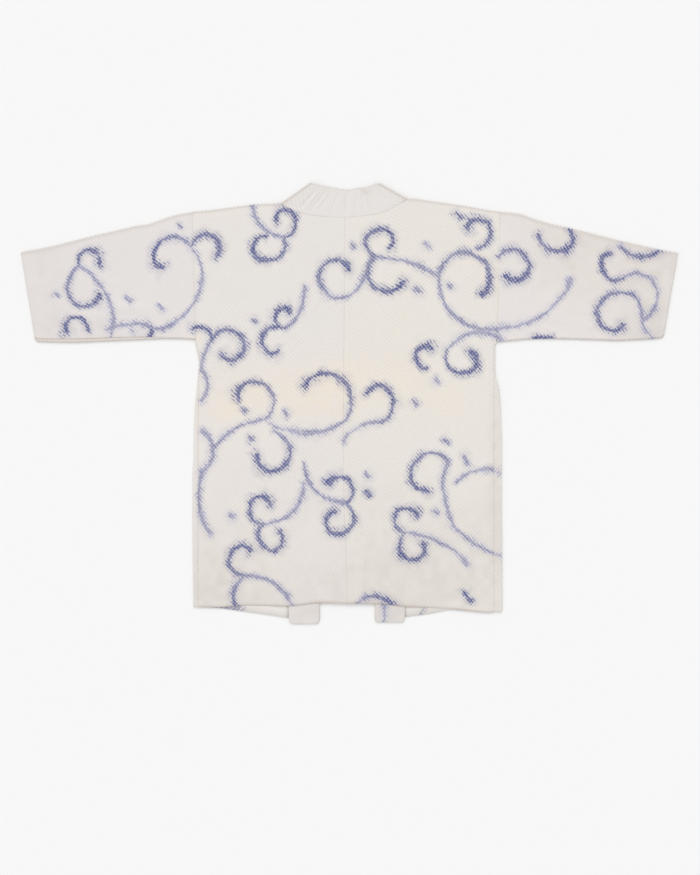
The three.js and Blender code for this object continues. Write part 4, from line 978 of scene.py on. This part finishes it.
# --------------------------------------------------------------------- collar
def collar():
    h = BAND / 2
    A, B, UPV, kind = [], [], [], []
    key = []                                    # (ax, ay, az, bx, by, bz, ux, uy, uz)

    def run_keys(side):
        s = -1 if side == "left" else 1
        t = RUN[side]
        out = []
        for i in range(len(t["sx"])):
            out.append((t["sx"][i] - s * (SEAM + 0.1 + t["round"][i]), t["sy"][i], BAND_MID,
                        t["fx"][i] + s * t["round"][i], t["fy"][i], BAND_MID))
        return out

    def axis(i, s):
        sx, sy, fx, fy = (NECK[c][i] for c in ("sx", "sy", "fx", "fy"))
        d = np.array([fx - sx, fy - sy])
        d /= np.linalg.norm(d)
        out = np.array([s * abs(d[1]), abs(d[0])])
        inset = BAND_FOLD_R + h
        return np.array([sx, sy]) - out * inset + d * 2.7, np.array([fx, fy]) - out * inset - d * 0.5, out

    rows = []                                   # a, b (3,), up (3,)

    def stretch(keys, up, more=0):
        """Fine rows between the key rows of one flat stretch."""
        K = np.array(keys)
        m = (K[:, :2] + K[:, 3:5]) / 2
        span = np.maximum(np.linalg.norm(np.diff(K[:, :2], axis=0), axis=1), np.linalg.norm(np.diff(K[:, 3:5], axis=0), axis=1))
        span = np.maximum(np.linalg.norm(np.diff(m, axis=0), axis=1), span * 0.7)
        at = np.concatenate([[0], np.cumsum(span)])
        n = int(round(at[-1] / STEP)) + more
        f = np.linspace(0, at[-1], n + 1)
        cols = [curve(at, K[:, k], f) for k in range(6)]
        return [(np.array([c[i] for c in cols[:3]]), np.array([c[i] for c in cols[3:]]), up) for i in range(n + 1)]

    def fold(i, s, start, end):
        a, b, out = axis(i, s)
        got = []
        for k in range(11):
            q = mix(start, end, k / 10)
            sh_ = np.array([*(out * BAND_FOLD_R * math.sin(q)), BAND_MID + BAND_FOLD_R * (1 - math.cos(q))])
            up = np.array([*(-out * math.sin(q)), math.cos(q)])
            got.append((np.array([*a, 0]) + sh_, np.array([*b, 0]) + sh_, up))
        return got

    UPV, DNV = np.array([0, 0, 1.0]), np.array([0, 0, -1.0])
    a0, b0, _ = axis(0, -1)
    a1, b1, _ = axis(12, 1)
    left = run_keys("left")[::-1] + [(*a0, BAND_MID, *b0, BAND_MID)]
    right = [(*a1, BAND_MID, *b1, BAND_MID)] + run_keys("right")
    neck = [(*a0, NECK_MID, *b0, NECK_MID)]
    for k in range(1, 12):
        ax, ay, bx, by = (NECK[c][k] for c in ("sx", "sy", "fx", "fy"))
        d = np.array([NECK["sx"][k + 1] - NECK["sx"][k - 1], NECK["sy"][k + 1] - NECK["sy"][k - 1]])
        d /= np.linalg.norm(d)
        off = np.array([-d[1], d[0]]) * 0.12
        sag = 1.6 * math.sin(math.pi * k / 12)
        neck.append((ax + off[0], ay + off[1], NECK_MID - sag, bx, by, NECK_MID - sag - NECK["droop"][k]))
    neck.append((*a1, NECK_MID, *b1, NECK_MID))
    parts = [("run", stretch(left, UPV)), ("fold", fold(0, -1, 0, math.pi)), ("neck", stretch(neck, DNV)),
             ("fold", fold(12, 1, math.pi, 0)), ("run", stretch(right, UPV))]
    spans = sum(len(got) - 1 for _, got in parts)
    parts[0] = ("run", stretch(left, UPV, -spans % 4))
    for name, got in parts:
        for i, row in enumerate(got):
            if rows and i == 0:
                continue
            rows.append(row)
            kind.append(name)
    kind = np.array(kind)
    R = len(rows) - 1
    A, B, U = (np.array([r_[i] for r_ in rows]) for i in range(3))
    E = B - A
    W = np.linalg.norm(E, axis=1)
    E /= W[:, None]
    rad = h - BAND_WALL / 2
    nf, nr = 28, 8
    C = 2 * nf + nr
    P = np.zeros((R + 1, C + 1, 3))
    Nn = np.zeros_like(P)
    dist = np.zeros((R + 1, C + 1))
    flat = W - h
    for c in range(C + 1):
        if c <= nf:
            d, n_, dn = flat * c / nf, -rad, (0, -1)
            cq = STEP * c
        elif c < nf + nr:
            a = math.pi * (c - nf) / nr
            d, n_, dn = flat + rad * math.sin(a), -rad * math.cos(a), (math.sin(a), -math.cos(a))
            cq = STEP * nf + 3 * STEP * (c - nf) / nr
        else:
            d, n_, dn = flat * (1 - (c - nf - nr) / nf), rad, (0, 1)
            cq = STEP * (c - nr + 3)
        P[:, c] = A + E * np.broadcast_to(d, W.shape)[:, None] + U * n_
        Nn[:, c] = E * dn[0] + U * dn[1]
        dist[:, c] = cq
    along = np.concatenate([[0], np.cumsum(np.where(kind[1:] == "fold", 0.3 * STEP, STEP))])
    X_, Y_ = P[..., 0], P[..., 1]
    cut = np.stack([dist, along[:, None] + 0 * dist, 0 * dist], -1)
    upside = Nn[..., 2] > 0.5
    is_neck = (kind == "neck")[:, None] & upside
    d_seam = np.minimum(dist, dist.max(1, keepdims=True) - dist)
    soft = smooth(np.minimum(d_seam, 99) / 5)
    crease = 1.25 * crease_height(NECK_CREASES, X_, Y_, 0.02)
    P[..., 2] += np.where(is_neck, crease * smooth(d_seam / 8) + 0.25 * noise(X_, Y_, 14, 7) * soft, 0)
    P[..., 2] += np.where(upside & ~is_neck, edge_dip(d_seam, 0.3, 2.2), 0) + np.where(is_neck, edge_dip(d_seam, 0.9 * (1 - neck_bell(X_)) + 0.1, 5.0), 0)
    relief = dots(cut[..., 0], cut[..., 1])
    roll = np.abs(np.sum(Nn * E[:, None, :], -1))
    outer = P + Nn * (BAND_WALL / 2 + relief * 1.6 * RELIEF + roll * 0.4 * (relief + 0.8))[..., None]
    outer[..., 2] = np.maximum(outer[..., 2], 0.0)
    inner = P - Nn * (BAND_WALL / 2)
    D, T = dye(X_, Y_, BAND_SCROLLS, NO_DASHES)
    D = np.where(((kind == "run")[:, None]) & (Y_ < 700), D, -3.0)
    Y, G = stains_and_shade(X_, Y_)
    # seam lines, and painted shade as a dark line along the rolled edges
    Ln = 0.12 * np.exp(-d_seam / 1.0) + 0.40 * roll ** 2
    turned = np.abs(along[:, None] - along[kind == "fold"][None, :]).min(1)[:, None]
    # painted shade: greyer by the free edge, on the rolls and at the turns over the neck ends, with a dark line at the
    # turns
    G += 1.3 * upside * np.exp(-(dist.max(1, keepdims=True) / 2 - d_seam) / 2.5) + 0.9 * roll + 1.4 * np.exp(-turned / 2.5)
    Ln += 0.25 * np.exp(-turned / 2.0)
    ends = np.minimum(np.arange(R + 1), R - np.arange(R + 1))[:, None] * STEP
    Ln = Ln + 0.22 * np.exp(-ends / 1.3)
    bulge = np.zeros(X_.shape)
    bulge[0, 1:-1] = 0.3
    bulge[-1, 1:-1] = 0.3
    sh = Sheet("collar_band", R, C)
    data = {"cut": cut, "dye": np.stack([D, T, 0 * D], -1), "stains_and_shade": np.stack([Y * 0.6, G + 0.05, Ln], -1)}
    return sh.build(outer, inner, data, bulge, SILK_C)


# ------------------------------------------------------------ build everything
pieces = {}
for side in ("left", "right"):
    pieces["body_" + side] = body(side)
    pieces["sleeve_" + side] = sleeve(side)
    pieces["machi_" + side] = gusset(side)
pieces["collar"] = collar()

slots = {"body": "dyed_silk", "machi": "dyed_silk", "sleeve": "dyed_silk_sleeve", "collar": "collar_silk"}
for node, ob in pieces.items():
    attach(ob, "root")
    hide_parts(node)
    slots[node.split("_")[0]]

# ----------------------------------------------------------- floor and light
def plain(name, colour, rough):
    m = bpy.data.materials.new(name)
    m.use_nodes = True
    b = m.node_tree.nodes["Principled BSDF"]
    b.inputs["Base Color"].default_value = (*colour, 1)
    b.inputs["Roughness"].default_value = rough
    b.inputs["Specular IOR Level"].default_value = 0.1
    return m


me = bpy.data.meshes.new("floor")
me.from_pydata([(-9, -9, -0.0003), (9, -9, -0.0003), (9, 9, -0.0003), (-9, 9, -0.0003)], [], [(0, 1, 2, 3)])
me.materials.append(plain("floor_paper", (0.93, 0.93, 0.93), 0.95))
floor = bpy.data.objects.new("floor", me)
bpy.context.scene.collection.objects.link(floor)

scene = bpy.context.scene
scene.view_settings.view_transform = "Standard"
scene.view_settings.look = "None"
scene.view_settings.exposure = 0.0
scene.view_settings.gamma = 1.0
world = bpy.data.worlds.new("studio")
world.use_nodes = True
world.node_tree.nodes["Background"].inputs[0].default_value = (1, 1, 1, 1)
world.node_tree.nodes["Background"].inputs[1].default_value = 0.714
scene.world = world


def sun(name, azimuth, tilt, spread, strength):
    """A wide, even light from azimuth (degrees from +X) at tilt from overhead."""
    li = bpy.data.lights.new(name, "SUN")
    li.angle = math.radians(spread)
    li.energy = strength
    ob = bpy.data.objects.new(name, li)
    ob.rotation_euler = (0, math.radians(tilt), math.radians(azimuth))
    scene.collection.objects.link(ob)


sun("key", 90, 50, 34, 0.93)
sun("fill", 205, 45, 60, 0.45)

# ------------------------------------------------------------------- camera
# Straight above, as it was photographed: one image pixel is 1.95 mm.
PX = 1.95e-3
cam = bpy.data.cameras.new("camera")
cam.lens, cam.sensor_width, cam.sensor_height, cam.sensor_fit = 85, 36, 36, "AUTO"
cam.clip_end = 60
height = 875 * PX / 36 * 85
cam_ob = bpy.data.objects.new("camera", cam)
cam_ob.location = ((350 - 345) * PX - 0.0085, (606 - 437.5) * PX - 0.395473, height)
cam_ob.rotation_euler = (0, 0, 0)
scene.collection.objects.link(cam_ob)
scene.camera = cam_ob
